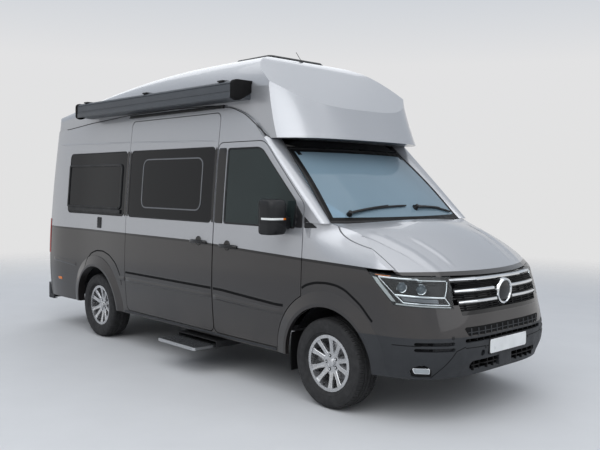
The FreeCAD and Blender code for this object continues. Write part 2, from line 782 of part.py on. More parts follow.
def skin_half(x, z):
    """Distance of the outer skin from the middle plane, round the nose too"""
    if x <= NOSE_CORNER_X:
        return nose_side_y(x, z)
    number = max(n for n in range(len(NOSE_LEVELS) - 1) if NOSE_LEVELS[n] <= z)
    share = (z - NOSE_LEVELS[number]) / (NOSE_LEVELS[number + 1] - NOSE_LEVELS[number])
    tip_share = NOSE_TIP_SHARES[number] + share * (NOSE_TIP_SHARES[number + 1] - NOSE_TIP_SHARES[number])
    power = NOSE_POWERS[number] + share * (NOSE_POWERS[number + 1] - NOSE_POWERS[number])
    along = (x - NOSE_CORNER_X) / (tip_share * HALF_LENGTH - NOSE_CORNER_X)
    return nose_side_y(NOSE_CORNER_X, z) * (1 - along ** 2) ** (1 / power)


def flare_section(x, degrees, wall):
    """Section of a wheel arch's raised band, in a plane through the axle"""
    angle = math.radians(degrees)
    inner = ARCH_RADIUS - FLARE_LIP
    outer = FLARE_RADIUS + FLARE_BITE * (FLARE_RADIUS - ARCH_RADIUS - FLARE_LIP) / FLARE_PROUD
    profile = [(inner, -wall / 2), (inner, FLARE_PROUD), (ARCH_RADIUS + FLARE_LIP, FLARE_PROUD),
               (outer, -FLARE_BITE), (outer, -wall / 2)]
    points = []
    for radius, proud in profile:
        point_x = x + radius * math.cos(angle)
        point_z = TYRE_RADIUS + radius * math.sin(angle)
        points.append(Vector(point_x, -skin_half(point_x, point_z) - proud, point_z))
    return Part.makePolygon(points + [points[0]])


def flare(x, wall):
    """A raised band over a wheel arch that follows the skin, on the right side"""
    sections = [flare_section(x, 180 * step / FLARE_STEPS, wall) for step in range(FLARE_STEPS + 1)]
    return Part.makeLoft(sections, True, False).common(wheel_cylinder(x, FLARE_RADIUS, 0, MIRROR_WIDTH))


def plain_side():
    """The right body side before its doors and windows are cut"""
    wall = side_slab(0, SIDE_WALL)
    front_low = block(Vector(DOOR_FRONT_X + SHUT_GAP, -MIRROR_WIDTH, 0),
                      Vector(LENGTH, 0, WING_TOP_Z + SEAT_GAP))
    lean_x = SCREEN_HIGH_X - SCREEN_LOW_X
    lean_z = SCREEN_HIGH_Z - SCREEN_LOW_Z
    top = (SCREEN_LOW_X + 2 * lean_x, SCREEN_LOW_Z + 2 * lean_z)
    low = (SCREEN_LOW_X - lean_x, SCREEN_LOW_Z - lean_z)
    line = [(low[0], low[1], 0), (LENGTH, low[1], 0), (LENGTH, top[1], 0), (top[0], top[1], 0)]
    wall = wall.cut(front_low).cut(right_prism(line)).cut(above_cap_line())
    post_x = POST_SIZE + SEAT_GAP
    behind = [(-LENGTH, 0, 0), (rear_x(0) + post_x, 0, 0), (rear_x(HEIGHT) + post_x, HEIGHT, 0),
              (-LENGTH, HEIGHT, 0)]
    return wall.cut(right_prism(behind))


def above_cap_line():
    """Everything over the high roof's base line, made once"""
    return once("above cap", make_above_cap)


def once(name, maker):
    """Keeps a costly shape that several pieces are cut by"""
    if name not in KEPT:
        KEPT[name] = maker()
    return KEPT[name]


def make_above_cap():
    """Everything over the high roof's base line"""
    whole = block(Vector(-LENGTH, -MIRROR_WIDTH - SIDE_WALL, 0),
                  Vector(LENGTH, MIRROR_WIDTH + SIDE_WALL, 2 * HEIGHT))
    return whole.cut(below_cap(-SEAT_GAP))


def pillar_section(share):
    """Section of the right windscreen pillar, square to the glass's side edge"""
    low = Vector(SCREEN_LOW_X, -SCREEN_LOW_HALF - SEAT_GAP, SCREEN_LOW_Z)
    high = Vector(SCREEN_HIGH_X, -SCREEN_HIGH_HALF - SEAT_GAP, SCREEN_HIGH_Z)
    edge = low + (high - low) * share
    outward = Vector(high.z - low.z, 0, low.x - high.x).normalize()
    side = -side_y(edge.x, edge.z)
    width = side - edge.y
    skin_points = [edge + outward * PILLAR_EDGE_PROUD,
                   edge + outward * PILLAR_CREST_PROUD + Vector(0, width * PILLAR_CREST_SHARE, 0),
                   edge + outward * PILLAR_HEEL_PROUD + Vector(0, width * PILLAR_HEEL_SHARE, 0),
                   edge - outward * PILLAR_SIDE_DEPTH + Vector(0, width, 0),
                   edge - outward * PILLAR_DEPTH + Vector(0, width, 0)]
    inner = edge - outward * PILLAR_DEPTH
    corner_edges = [Part.LineSegment(skin_points[-1], inner).toShape(),
                    Part.LineSegment(inner, skin_points[0]).toShape()]
    return Part.Wire([spline(skin_points)] + corner_edges)


def pillar():
    """The right windscreen pillar, made once"""
    return once("pillar", make_pillar)


def side_base():
    """Side skin and pillar that both sides start from, made once"""
    return once("side", make_side_base)


def make_side_base():
    """Side skin and pillar in one"""
    return plain_side().fuse(pillar())


def make_pillar():
    """The right windscreen pillar, from the side skin in to the glass"""
    post = Part.makeLoft([pillar_section(share) for share in PILLAR_STATION_SHARES], True, False)
    low_cut = block(Vector(0, -MIRROR_WIDTH, 0), Vector(LENGTH, 0, WING_TOP_Z + SEAT_GAP))
    return post.cut(low_cut).cut(above_cap_line())


def body_side_right():
    """Body side with the pillars and sill, open for two doors and a window"""
    wall = side_base().cut(right_prism(slide_outline(SHUT_GAP)))
    wall = wall.cut(right_prism(door_outline(SHUT_GAP)))
    wall = wall.cut(right_prism(quarter_outline(SEAT_GAP)))
    return arch_side(wall)


def arch_side(wall):
    """Opens the rear arch, adds its flare and keeps clear of the front arch"""
    reach = wheel_cylinder(REAR_AXLE_X, ARCH_RADIUS, REAR_HOUSE_INNER_Y, MIRROR_WIDTH)
    wall = wall.fuse(flare(REAR_AXLE_X, SIDE_WALL)).cut(reach)
    front = wheel_cylinder(FRONT_AXLE_X, FLARE_RADIUS + SEAT_GAP, REAR_HOUSE_INNER_Y, MIRROR_WIDTH)
    below = block(Vector(0, -MIRROR_WIDTH, 0), Vector(LENGTH, 0, BELT_Z))
    return solids_of(wall.cut(front.common(below)))


def body_side_left():
    """The other side: one door, two windows and two flaps"""
    wall = side_base().cut(right_prism(door_outline(SHUT_GAP)))
    wall = wall.cut(right_prism(quarter_outline(SEAT_GAP)))
    wall = wall.cut(right_prism(left_window_outline(SEAT_GAP)))
    for outline in (fuel_outline, service_outline):
        recess = side_slab(-SIDE_WALL, SIDE_WALL + FLAP_THICK + SEAT_GAP)
        wall = wall.cut(recess.common(right_prism(outline(SHUT_GAP))))
    return mirrored(arch_side(wall))


def fuel_outline(margin):
    """Corner list of the fuel flap"""
    half = FUEL_FLAP_SIZE / 2
    shape = rectangle(FUEL_FLAP_X - half, FUEL_FLAP_X + half, FUEL_FLAP_Z - half, FUEL_FLAP_Z + half,
                      FLAP_CORNER)
    return grow(shape, margin)


def service_outline(margin):
    """Corner list of the washroom's service flap"""
    half_long = SERVICE_FLAP_LENGTH / 2
    half_high = SERVICE_FLAP_HEIGHT / 2
    shape = rectangle(SERVICE_FLAP_X - half_long, SERVICE_FLAP_X + half_long,
                      SERVICE_FLAP_Z - half_high, SERVICE_FLAP_Z + half_high, FLAP_CORNER)
    return grow(shape, margin)


def left_flap(outline):
    """A flap that fills its recess on the left side"""
    return mirrored(solids_of(side_slab(0, FLAP_THICK).common(right_prism(outline(0)))))


def sliding_door():
    """The sliding door with its window cut"""
    door = side_slab(0, DOOR_WALL).common(right_prism(slide_outline(0)))
    door = door.cut(right_prism(slide_glass_outline(SEAT_GAP)))
    low_z = FLOOR_Z - FLOOR_THICK
    inner_y = -side_y(0, low_z) + DOOR_WALL
    for x in (SLIDE_REAR_X + ROLLER_INSET, SLIDE_FRONT_X - ROLLER_INSET - ROLLER_LENGTH):
        roller = block(Vector(x, inner_y - DOOR_WALL / 2, low_z),
                       Vector(x + ROLLER_LENGTH, -FLOOR_HALF_WIDTH - SEAT_GAP, low_z + ROLLER_HEIGHT))
        door = door.fuse(roller)
    return solids_of(door)


def sliding_glass():
    """The sliding door's dark pane"""
    return solids_of(side_slab(0, GLASS_THICK).common(right_prism(slide_glass_outline(0))))


def side_glass():
    """The fixed panes: a rear one on each side and the kitchen's on the left"""
    quarter = solids_of(side_slab(0, GLASS_THICK).common(right_prism(quarter_outline(0))))
    kitchen = solids_of(side_slab(0, GLASS_THICK).common(right_prism(left_window_outline(0))))
    return Part.Compound([quarter, mirrored(quarter), mirrored(kitchen)])


def front_door():
    """The right front door, cut round the wheel arch"""
    door = side_slab(0, DOOR_WALL).common(right_prism(door_outline(0)))
    arch = wheel_cylinder(FRONT_AXLE_X, FLARE_RADIUS + SHUT_GAP, REAR_HOUSE_INNER_Y, MIRROR_WIDTH)
    below = block(Vector(0, -MIRROR_WIDTH, 0), Vector(LENGTH, 0, BELT_Z))
    door = door.cut(arch.common(below))
    return solids_of(door.cut(right_prism(door_glass_outline(SEAT_GAP))))


def door_glass():
    """The right front door's pane"""
    return solids_of(side_slab(GLASS_SET_IN, GLASS_THICK).common(right_prism(door_glass_outline(0))))


def mirror():
    """The right door mirror: a rounded housing on a short arm"""
    outer = MIRROR_WIDTH / 2
    front = [(-MIRROR_INNER_Y, MIRROR_LOW_Z + MIRROR_ROUNDING, MIRROR_ROUNDING),
             (-outer, MIRROR_LOW_Z, MIRROR_ROUNDING),
             (-outer, MIRROR_HIGH_Z, MIRROR_ROUNDING),
             (-MIRROR_INNER_Y, MIRROR_HIGH_Z, MIRROR_ROUNDING)]
    head = prism(front, "yz", MIRROR_REAR_X, MIRROR_FRONT_X)
    edges = [edge for edge in head.Edges if edge.BoundBox.XMin > MIRROR_FRONT_X - SEAT_GAP]
    head = head.makeFillet(MIRROR_ROUNDING - SEAT_GAP, edges)
    arm_low = MIRROR_LOW_Z + MIRROR_ROUNDING
    head_x = MIRROR_FRONT_X - MIRROR_ROUNDING
    foot_y = MIRROR_INNER_Y - MIRROR_ARM_REACH
    plan = [(head_x, -MIRROR_INNER_Y - MIRROR_ROUNDING, 0),
            (head_x - MIRROR_ARM_DEPTH, -MIRROR_INNER_Y - MIRROR_ROUNDING, 0),
            (head_x - MIRROR_ARM_DEPTH + MIRROR_ARM_SWEEP, -foot_y, 0),
            (head_x + MIRROR_ARM_SWEEP, -foot_y, 0)]
    arm = prism(plan, "xy", arm_low, arm_low + MIRROR_ARM_HEIGHT)
    arm = arm.cut(side_slab(-SEAT_GAP, BODY_HALF_WIDTH))
    return solids_of(head.fuse(arm))


def post_corners(z, margin):
    """Plan corners of the right rear corner post, its inner faces grown by a margin"""
    back = rear_x(z)
    side = side_y(back + POST_SIZE, z)
    inner = rear_door_edge(REAR_HEAD_Z)
    return [(back, -side, POST_RADIUS), (back + POST_SIZE + margin, -side, 0),
            (back + POST_SIZE + margin, -side + SIDE_WALL + margin, 0),
            (back + REAR_DOOR_WALL + margin, -inner + margin, 0), (back, -inner + margin, 0)]


def post_section(z):
    """Plan section of the right rear corner post"""
    return rounded_wire(post_corners(z, 0), "xy", z)


def post_levels():
    """Heights of the corner post's sections"""
    return [SILL_Z + share * (RAIL_Z + SIDE_WALL - SILL_Z) for share in SIDE_LEVEL_SHARES[:-1]]


def rear_frame():
    """Ring round the rear doors: two rounded corner posts, a sill and a head"""
    post = Part.makeLoft([post_section(z) for z in post_levels()], True, False)
    post = post.cut(above_cap_line())
    frame = post.fuse(mirrored(post))
    for low_z in (REAR_SILL_Z - REAR_FRAME_BAND, REAR_HEAD_Z + SHUT_GAP):
        high_z = low_z + REAR_FRAME_BAND
        inner = side_y(REAR_DOOR_X, low_z) - SIDE_WALL - SHUT_GAP
        beam = [(rear_x(low_z), low_z, 0), (rear_x(low_z) + POST_SIZE - SIDE_WALL, low_z, 0),
                (rear_x(high_z) + POST_SIZE - SIDE_WALL, high_z, 0), (rear_x(high_z), high_z, 0)]
        frame = frame.fuse(prism(beam, "xz", -inner, inner).cut(above_cap_line()))
    frame = frame.cut(solids_of(rear_door_blank(SHUT_GAP)))
    for low_z in REAR_HINGE_LEVELS:
        hinge = rear_hinge(low_z)
        frame = frame.fuse(hinge).fuse(mirrored(hinge))
    return solids_of(frame)


def rear_hinge(low_z):
    """A barrel behind the rear door's edge with a leaf to the corner post"""
    edge = rear_door_edge(REAR_HEAD_Z)
    lean = Vector(REAR_LEAN, 0, RAIL_Z - REAR_LEAN_FROM_Z).normalize()
    foot = Vector(rear_x(low_z) - REAR_HINGE_PROUD, -edge + REAR_HINGE_INSET, low_z)
    radius = REAR_HINGE_PROUD - SEAT_GAP
    barrel = Part.makeCylinder(radius, REAR_HINGE_HEIGHT, foot, lean)
    half = REAR_HINGE_PROUD / 2
    leaf_y = foot.y - REAR_HINGE_INSET - SHUT_GAP - REAR_HINGE_LEAF
    low_x = foot.x
    high_x = rear_x(low_z + REAR_HINGE_HEIGHT) - REAR_HINGE_PROUD
    plates = []
    for back, front, inner_y in ((-half, half, foot.y),
                                 (half, REAR_HINGE_PROUD + half, foot.y - REAR_HINGE_INSET - SHUT_GAP)):
        side = [(low_x + back, low_z, 0), (low_x + front, low_z, 0),
                (high_x + front, low_z + REAR_HINGE_HEIGHT, 0),
                (high_x + back, low_z + REAR_HINGE_HEIGHT, 0)]
        plates.append(prism(side, "xz", leaf_y, inner_y))
    return barrel.fuse(plates[0]).fuse(plates[1])


def rear_door_edge(z):
    """Distance of the rear doors' outer edges from the middle"""
    return side_y(rear_x(z) + POST_SIZE, z) - POST_SIZE


def rear_door_blank(margin):
    """Both rear doors as one slab, grown by a margin, following the leaning rear"""
    outline = [(rear_x(REAR_SILL_Z), REAR_SILL_Z - margin, 0),
               (rear_x(REAR_HEAD_Z), REAR_HEAD_Z + margin, 0),
               (rear_x(REAR_HEAD_Z) + REAR_DOOR_WALL + margin, REAR_HEAD_Z + margin, 0),
               (rear_x(REAR_SILL_Z) + REAR_DOOR_WALL + margin, REAR_SILL_Z - margin, 0)]
    if margin > 0:
        outline[0] = (outline[0][0] - OVERRUN, outline[0][1], 0)
        outline[1] = (outline[1][0] - OVERRUN, outline[1][1], 0)
    edge = rear_door_edge(REAR_HEAD_Z) + margin
    return prism(outline, "xz", -edge, edge)


def rear_glass_corners(margin):
    """Corner list of the right rear door's window, seen from behind"""
    outer = rear_door_edge(REAR_HEAD_Z) - REAR_GLASS_MARGIN
    shape = rectangle(-outer, -outer + REAR_GLASS_WIDTH, REAR_GLASS_LOW_Z, REAR_GLASS_HIGH_Z,
                      WINDOW_RADIUS)
    return grow(shape, margin)


def rear_door():
    """The right rear door with its window cut"""
    half = block(Vector(-LENGTH, -MIRROR_WIDTH, 0), Vector(0, -SHUT_GAP / 2, HEIGHT))
    door = rear_door_blank(0).common(half)
    return solids_of(door.cut(prism(rear_glass_corners(SEAT_GAP), "yz", -LENGTH, 0)))


def rear_glass():
    """The right rear door's pane"""
    outline = [(rear_x(REAR_SILL_Z), REAR_SILL_Z, 0), (rear_x(REAR_HEAD_Z), REAR_HEAD_Z, 0),
               (rear_x(REAR_HEAD_Z) + GLASS_THICK, REAR_HEAD_Z, 0),
               (rear_x(REAR_SILL_Z) + GLASS_THICK, REAR_SILL_Z, 0)]
    pane = prism(outline, "xz", -MIRROR_WIDTH, 0)
    return solids_of(pane.common(prism(rear_glass_corners(0), "yz", -LENGTH, 0)))


def wide_post(grown):
    """The corner post's outer faces, grown and filled towards the middle"""
    wires = []
    for z in [SILL_Z - SIDE_WALL] + post_levels():
        back = rear_x(z) - grown
        side = side_y(rear_x(z) + POST_SIZE, z) + grown
        corners = [(back, -side, POST_RADIUS + grown), (rear_x(z) + OVERRUN, -side, 0),
                   (rear_x(z) + OVERRUN, 0, 0), (back, 0, 0)]
        wires.append(rounded_wire(corners, "xy", z))
    return Part.makeLoft(wires, True, False)


def tail_lamps():
    """Upright lamps wrapped round the rear corners"""
    band = wide_post(TAIL_LAMP_PROUD).cut(once("post room", post_room))
    inner_y = rear_door_edge(TAIL_LAMP_HIGH_Z) + TAIL_LAMP_WRAP
    zone = block(Vector(-LENGTH, -MIRROR_WIDTH, TAIL_LAMP_LOW_Z),
                 Vector(rear_x(TAIL_LAMP_LOW_Z) + POST_SIZE - TAIL_LAMP_WRAP, -inner_y,
                        TAIL_LAMP_HIGH_Z))
    return both(biggest(band.common(zone)))


def post_room():
    """The corner post grown by the seating gap"""
    return wide_post(SEAT_GAP)


def nose_section(tip_share, power, z, inset):
    """Plan section of the whole nose at a height"""
    tip = tip_share * HALF_LENGTH - inset
    corner_y = nose_side_y(NOSE_CORNER_X, z) - inset
    back_x = DOOR_FRONT_X + SHUT_GAP - OVERRUN * (inset > 0)
    quarter = []
    for degrees in NOSE_ANGLES_DEG:
        angle = math.radians(degrees)
        x = NOSE_CORNER_X + (tip - NOSE_CORNER_X) * math.cos(angle)
        quarter.append((x, corner_y * math.sin(angle) ** (2 / power)))
    for share in NOSE_SIDE_SHARES:
        x = DOOR_FRONT_X + share * (NOSE_CORNER_X - DOOR_FRONT_X)
        quarter.append((x, nose_side_y(x, z) - inset))
    points = [Vector(x, -y, z) for x, y in reversed(quarter)]
    points += [Vector(x, y, z) for x, y in quarter[1:]]
    loop = [points[-1], Vector(back_x - OVERRUN, points[-1].y, z),
            Vector(back_x - OVERRUN, points[0].y, z),
            points[0]]
    edges = [spline(points)]
    for start, end in zip(loop[:-1], loop[1:]):
        edges.append(Part.LineSegment(start, end).toShape())
    return Part.Wire(edges)


def bonnet_z(x, y):
    """Height of the bonnet's outer skin"""
    run = (x - BONNET_REAR_X) / (BONNET_FRONT_X - BONNET_REAR_X)
    crown = BONNET_CROWN_REAR + (BONNET_CROWN_FRONT - BONNET_CROWN_REAR) * (1 - (1 - run) ** 2)
    return BONNET_REAR_Z - BONNET_DROP * run ** 2 - crown * (y / BONNET_CROWN_HALF) ** 2


def bonnet_roof(lift):
    """Everything over the bonnet's skin"""
    start = DOOR_FRONT_X - SIDE_WALL
    xs = [start + share * (HALF_LENGTH + SIDE_WALL - start) for share in BONNET_ALONG_SHARES]
    ys = [share * MIRROR_WIDTH / 2 for share in BONNET_CROSS_SHARES]
    rows = [[Vector(x, y, bonnet_z(x, y) + lift) for y in ys] for x in xs]
    return skin(rows).extrude(Vector(0, 0, HEIGHT))


def nose_form(inset):
    """The nose as a solid, the outer form or the inner one"""
    wires = []
    for z, tip, power in zip(NOSE_LEVELS, NOSE_TIP_SHARES, NOSE_POWERS):
        wires.append(nose_section(tip, power, z, inset))
    body = Part.makeLoft(wires, True, False)
    back = block(Vector(-LENGTH, -MIRROR_WIDTH, 0),
                 Vector(DOOR_FRONT_X + SHUT_GAP, MIRROR_WIDTH, HEIGHT))
    if inset > 0:
        back = block(Vector(-LENGTH, -MIRROR_WIDTH, 0), Vector(DOOR_FRONT_X, MIRROR_WIDTH, HEIGHT))
    return body.cut(bonnet_roof(-inset)).cut(back)


def wide_box(low_x, high_x, low_z, high_z):
    """A box across the whole width"""
    return block(Vector(low_x, -MIRROR_WIDTH, low_z), Vector(high_x, MIRROR_WIDTH, high_z))


def bonnet_region(margin):
    """The part of the nose that the bonnet takes up, grown by a margin"""
    half = BONNET_CORNER_Y + margin
    rear = [Vector(BONNET_CORNER_X - margin, -half, 0),
            Vector(BONNET_CORNER_X + BONNET_REAR_BOW - margin, 0, 0),
            Vector(BONNET_CORNER_X - margin, half, 0)]
    ahead = [rear[-1], Vector(LENGTH, half, 0), Vector(LENGTH, -half, 0), rear[0]]
    edges = [spline(rear)]
    for start, end in zip(ahead[:-1], ahead[1:]):
        edges.append(Part.LineSegment(start, end).toShape())
    plan = Part.Face(Part.Wire(edges)).extrude(Vector(0, 0, HEIGHT))
    return plan.cut(below_lamp_top(margin))


def lamp_top_z(x):
    """Height of the line along the lamps' and the grille's upper edge"""
    tip = NOSE_TIP_SHARES[6] * HALF_LENGTH
    return BONNET_FRONT_Z + LAMP_TOP_RISE * (tip - x) / (tip - NOSE_CORNER_X)


def below_lamp_top(margin):
    """Everything under the bonnet's front edge, lowered by a margin"""
    outline = [(0, -HEIGHT, 0), (LENGTH, -HEIGHT, 0), (LENGTH, lamp_top_z(LENGTH) - margin, 0),
               (0, lamp_top_z(0) - margin, 0)]
    return prism(outline, "xz", -MIRROR_WIDTH, MIRROR_WIDTH)


def lamp_region():
    """The right headlamp's window in the nose, a slanted four-sided prism"""
    angle = math.radians(LAMP_VIEW_DEG)
    view = Vector(math.cos(angle), math.sin(angle), 0)
    corners = []
    for x, y, z in (LAMP_OUTER_TOP, LAMP_OUTER_LOW, LAMP_INNER_LOW, LAMP_INNER_TOP):
        point = Vector(x, -y, z)
        corners.append(point - view * point.dot(view))
    face = Part.Face(Part.makePolygon(corners + [corners[0]]))
    return face.extrude(view * LENGTH)


def grille_region():
    """The grille's four-sided window, seen from the front"""
    corners = [(-GRILLE_TOP_HALF, BONNET_FRONT_Z - SHUT_GAP, 0), (-GRILLE_LOW_HALF, GRILLE_LOW_Z, 0),
               (GRILLE_LOW_HALF, GRILLE_LOW_Z, 0), (GRILLE_TOP_HALF, BONNET_FRONT_Z - SHUT_GAP, 0)]
    return prism(corners, "yz", NOSE_CORNER_X, LENGTH)


def nose_parts():
    """Splits the nose shell where the real panels meet"""
    outer = nose_form(0)
    shell = outer.cut(nose_form(NOSE_WALL)).cut(wide_box(0, LENGTH, 0, SILL_Z))
    bonnet = solids_of(shell.common(bonnet_region(0)))
    rest = shell.cut(bonnet_region(SHUT_GAP))
    lamp = lamp_region()
    lamps = lamp.fuse(mirrored(lamp))
    grille = grille_region()
    rest = rest.cut(lamps).cut(grille)
    lamp_shell = outer.cut(nose_form(LAMP_DEPTH)).common(lamp).cut(grille).common(below_lamp_top(SHUT_GAP))
    wing_keep = [(DOOR_FRONT_X, SILL_Z - SIDE_WALL, 0),
                 (FRONT_AXLE_X + ARCH_RADIUS, SILL_Z - SIDE_WALL, 0),
                 (FRONT_AXLE_X + ARCH_RADIUS, BUMPER_SPLIT_Z, 0), (WING_SPLIT_X, BUMPER_TOP_Z, 0),
                 (LENGTH, BUMPER_TOP_Z, 0), (LENGTH, HEIGHT, 0), (DOOR_FRONT_X, HEIGHT, 0)]
    wing_zone = prism(wing_keep, "xz", -MIRROR_WIDTH, MIRROR_WIDTH)
    top_zone = wide_box(0, LENGTH, WING_TOP_Z, HEIGHT)
    wing = rest.common(wing_zone).cut(top_zone)
    wing = wing.common(block(Vector(0, -MIRROR_WIDTH, 0), Vector(LENGTH, 0, HEIGHT)))
    wing = wing.cut(block(Vector(0, -FRONT_HOUSE_INNER_Y, 0), Vector(LENGTH, 0, HEIGHT)))
    seat_zone = block(Vector(0, -COWL_HALF_WIDTH - SEAT_GAP, COWL_LOW_Z),
                      Vector(BONNET_CORNER_X, 0, HEIGHT))
    screen_zone = block(Vector(0, -SCREEN_LOW_HALF - SEAT_GAP, SCREEN_LOW_Z - SCREEN_THICK),
                        Vector(BONNET_CORNER_X, 0, HEIGHT))
    wing = wing.cut(seat_zone).cut(screen_zone)
    for low_z in DOOR_HINGE_LEVELS:
        wing = wing.fuse(door_hinge_leaf(low_z))
    arch = wheel_cylinder(FRONT_AXLE_X, ARCH_RADIUS, 0, MIRROR_WIDTH)
    band = flare(FRONT_AXLE_X, NOSE_WALL)
    split = wide_box(FRONT_AXLE_X, LENGTH, 0, BUMPER_SPLIT_Z)
    wing = wing.cut(split).fuse(band.cut(split)).cut(arch)
    bumper = rest.cut(wing_zone).cut(wide_box(0, FRONT_AXLE_X + ARCH_RADIUS, 0, HEIGHT))
    upper = bumper.common(wide_box(0, LENGTH, BUMPER_SPLIT_Z,
                                   BUMPER_TOP_Z)).cut(band).cut(mirrored(band))
    low_zone = wide_box(FRONT_AXLE_X, LENGTH, SILL_Z, BUMPER_SPLIT_Z - SEAT_GAP)
    band_front = band.common(low_zone)
    lower = bumper.common(low_zone).fuse(band_front).fuse(mirrored(band_front)).cut(arch).cut(mirrored(arch))
    lower = pierce_bumper(lower)
    parts = {"bonnet": bonnet, "front_wings": both(biggest(wing)),
             "headlamps": both(biggest(lamp_shell)),
             "bumper_upper": solids_of(upper), "bumper_lower": lower, "grille": grille_parts(outer)}
    return parts


def door_hinge_leaf(low_z):
    """A hinge leaf on the wing's edge that the front door's edge turns beside"""
    skin_y = side_y(DOOR_FRONT_X, low_z + DOOR_HINGE_HEIGHT)
    return block(Vector(DOOR_FRONT_X + SEAT_GAP, -skin_y + DOOR_HINGE_COVER, low_z),
                 Vector(DOOR_FRONT_X + DOOR_HINGE_HEIGHT, -skin_y + DOOR_HINGE_DEPTH,
                        low_z + DOOR_HINGE_HEIGHT))


def biggest(shape):
    """The largest solid of a boolean result"""
    return max(shape.Solids, key=lambda solid: solid.Volume)


def pierce_bumper(lower):
    """Cuts the bumper's air slots and fog lamp seats and adds the towing eye's threaded boss"""
    slots = [(-INTAKE_HALF_WIDTH, INTAKE_HALF_WIDTH, INTAKE_LOW_Z, INTAKE_HIGH_Z),
             (-SLOT_HALF_WIDTH, SLOT_HALF_WIDTH, SLOT_LOW_Z, SLOT_HIGH_Z)]
    for sign in (-1, 1):
        for number in (0, 1):
            low = SIDE_INTAKE_LOW_Z + number * SIDE_INTAKE_STEP
            high = SIDE_INTAKE_HIGH_Z + number * SIDE_INTAKE_STEP
            edges = sorted((sign * SIDE_INTAKE_INNER, sign * SIDE_INTAKE_OUTER))
            slots.append((edges[0], edges[1], low, high))
    for low_y, high_y, low_z, high_z in slots:
        radius = (high_z - low_z) / 2 - SEAT_GAP
        lower = lower.cut(prism(rectangle(low_y, high_y, low_z, high_z, radius), "yz", 0, LENGTH))
    for sign in (-1, 1):
        lower = lower.cut(Part.makeCylinder(FOG_RADIUS, LENGTH, Vector(0, sign * FOG_Y, FOG_Z),
                                            Vector(1, 0, 0)))
    boss = Part.makeCylinder(TOW_BOSS_RADIUS, TOW_BOSS_LENGTH,
                             Vector(tow_face_x() - TOW_BOSS_LENGTH, -TOW_HOLE_Y, TOW_HOLE_Z),
                             Vector(1, 0, 0))
    hole = Part.makeCylinder(TOW_HOLE_RADIUS, LENGTH,
                             Vector(tow_face_x() - TOW_BOSS_LENGTH, -TOW_HOLE_Y, TOW_HOLE_Z),
                             Vector(1, 0, 0))
    cover_room = Part.makeCylinder(TOW_BOSS_RADIUS, LENGTH,
                                   Vector(tow_face_x(), -TOW_HOLE_Y, TOW_HOLE_Z), Vector(1, 0, 0))
    return solids_of(biggest(lower).fuse(boss).cut(hole).cut(cover_room))


def tow_face_x():
    """The front end of the towing eye's boss"""
    return NOSE_TIP_SHARES[2] * HALF_LENGTH - NOSE_WALL


def grille_parts(outer):
    """Curved bars on upright ribs in front of a closed back, with a plain round badge seat"""
    region = grille_region()
    front = outer.common(region)
    behind = front.copy()
    behind.translate(Vector(-GRILLE_DEPTH, 0, 0))
    back = front.copy()
    back.translate(Vector(-GRILLE_DEPTH + GRILLE_BACK, 0, 0))
    ribs = front.copy()
    ribs.translate(Vector(-GRILLE_BACK, 0, 0))
    height = BONNET_FRONT_Z - SHUT_GAP - GRILLE_LOW_Z
    pitch = (height - GRILLE_BAR_HEIGHT) / (GRILLE_BARS - 1)
    bar_boxes = []
    for number in range(GRILLE_BARS):
        low_z = GRILLE_LOW_Z + number * pitch
        bar_boxes.append(wide_box(0, LENGTH, low_z, low_z + GRILLE_BAR_HEIGHT))
    rib_boxes = []
    for number in range(GRILLE_RIBS):
        middle = GRILLE_LOW_HALF * ((2 * number + 1) / GRILLE_RIBS - 1)
        rib_boxes.append(block(Vector(0, middle - GRILLE_RIB_WIDTH / 2, GRILLE_LOW_Z),
                               Vector(LENGTH, middle + GRILLE_RIB_WIDTH / 2,
                                      BONNET_FRONT_Z - SHUT_GAP)))
    tip = NOSE_TIP_SHARES[5] * HALF_LENGTH
    badge = Part.makeCylinder(EMBLEM_RADIUS, GRILLE_DEPTH,
                              Vector(tip - GRILLE_DEPTH + EMBLEM_THICK / 2, 0, EMBLEM_Z),
                              Vector(1, 0, 0))
    pieces = [front.common(Part.Compound(bar_boxes)), ribs.common(Part.Compound(rib_boxes)), badge]
    return biggest(back.multiFuse(pieces).cut(behind))


def screen_point(across, up, lift):
    """A point of the windscreen's outer face"""
    half = SCREEN_LOW_HALF + up * (SCREEN_HIGH_HALF - SCREEN_LOW_HALF)
    bulge = SCREEN_LOW_BULGE + up * (SCREEN_HIGH_BULGE - SCREEN_LOW_BULGE)
    x = SCREEN_LOW_X + up * (SCREEN_HIGH_X - SCREEN_LOW_X) + bulge * (1 - abs(across) ** SCREEN_CROSS_POWER)
    z = SCREEN_LOW_Z + up * (SCREEN_HIGH_Z - SCREEN_LOW_Z)
    bow = SCREEN_BOW * (1 - (2 * up - 1) ** 2)
    return Vector(x + bow + lift, across * half, z + bow + lift)


def screen_slab(lift, thick, reach):
    """The windscreen as a curved slab, run past its edges by a share"""
    ups = [-reach] + SCREEN_UP_SHARES + [1 + reach]
    rows = [[screen_point(across * (1 + reach), up,
                          lift) for across in SCREEN_CROSS_SHARES] for up in ups]
    slant = thick * math.sin(math.radians(SCREEN_SLOPE_DEG))
    return skin(rows).extrude(Vector(-slant, 0, -slant))


def windscreen():
    """The windscreen"""
    return screen_slab(0, SCREEN_THICK, 0)


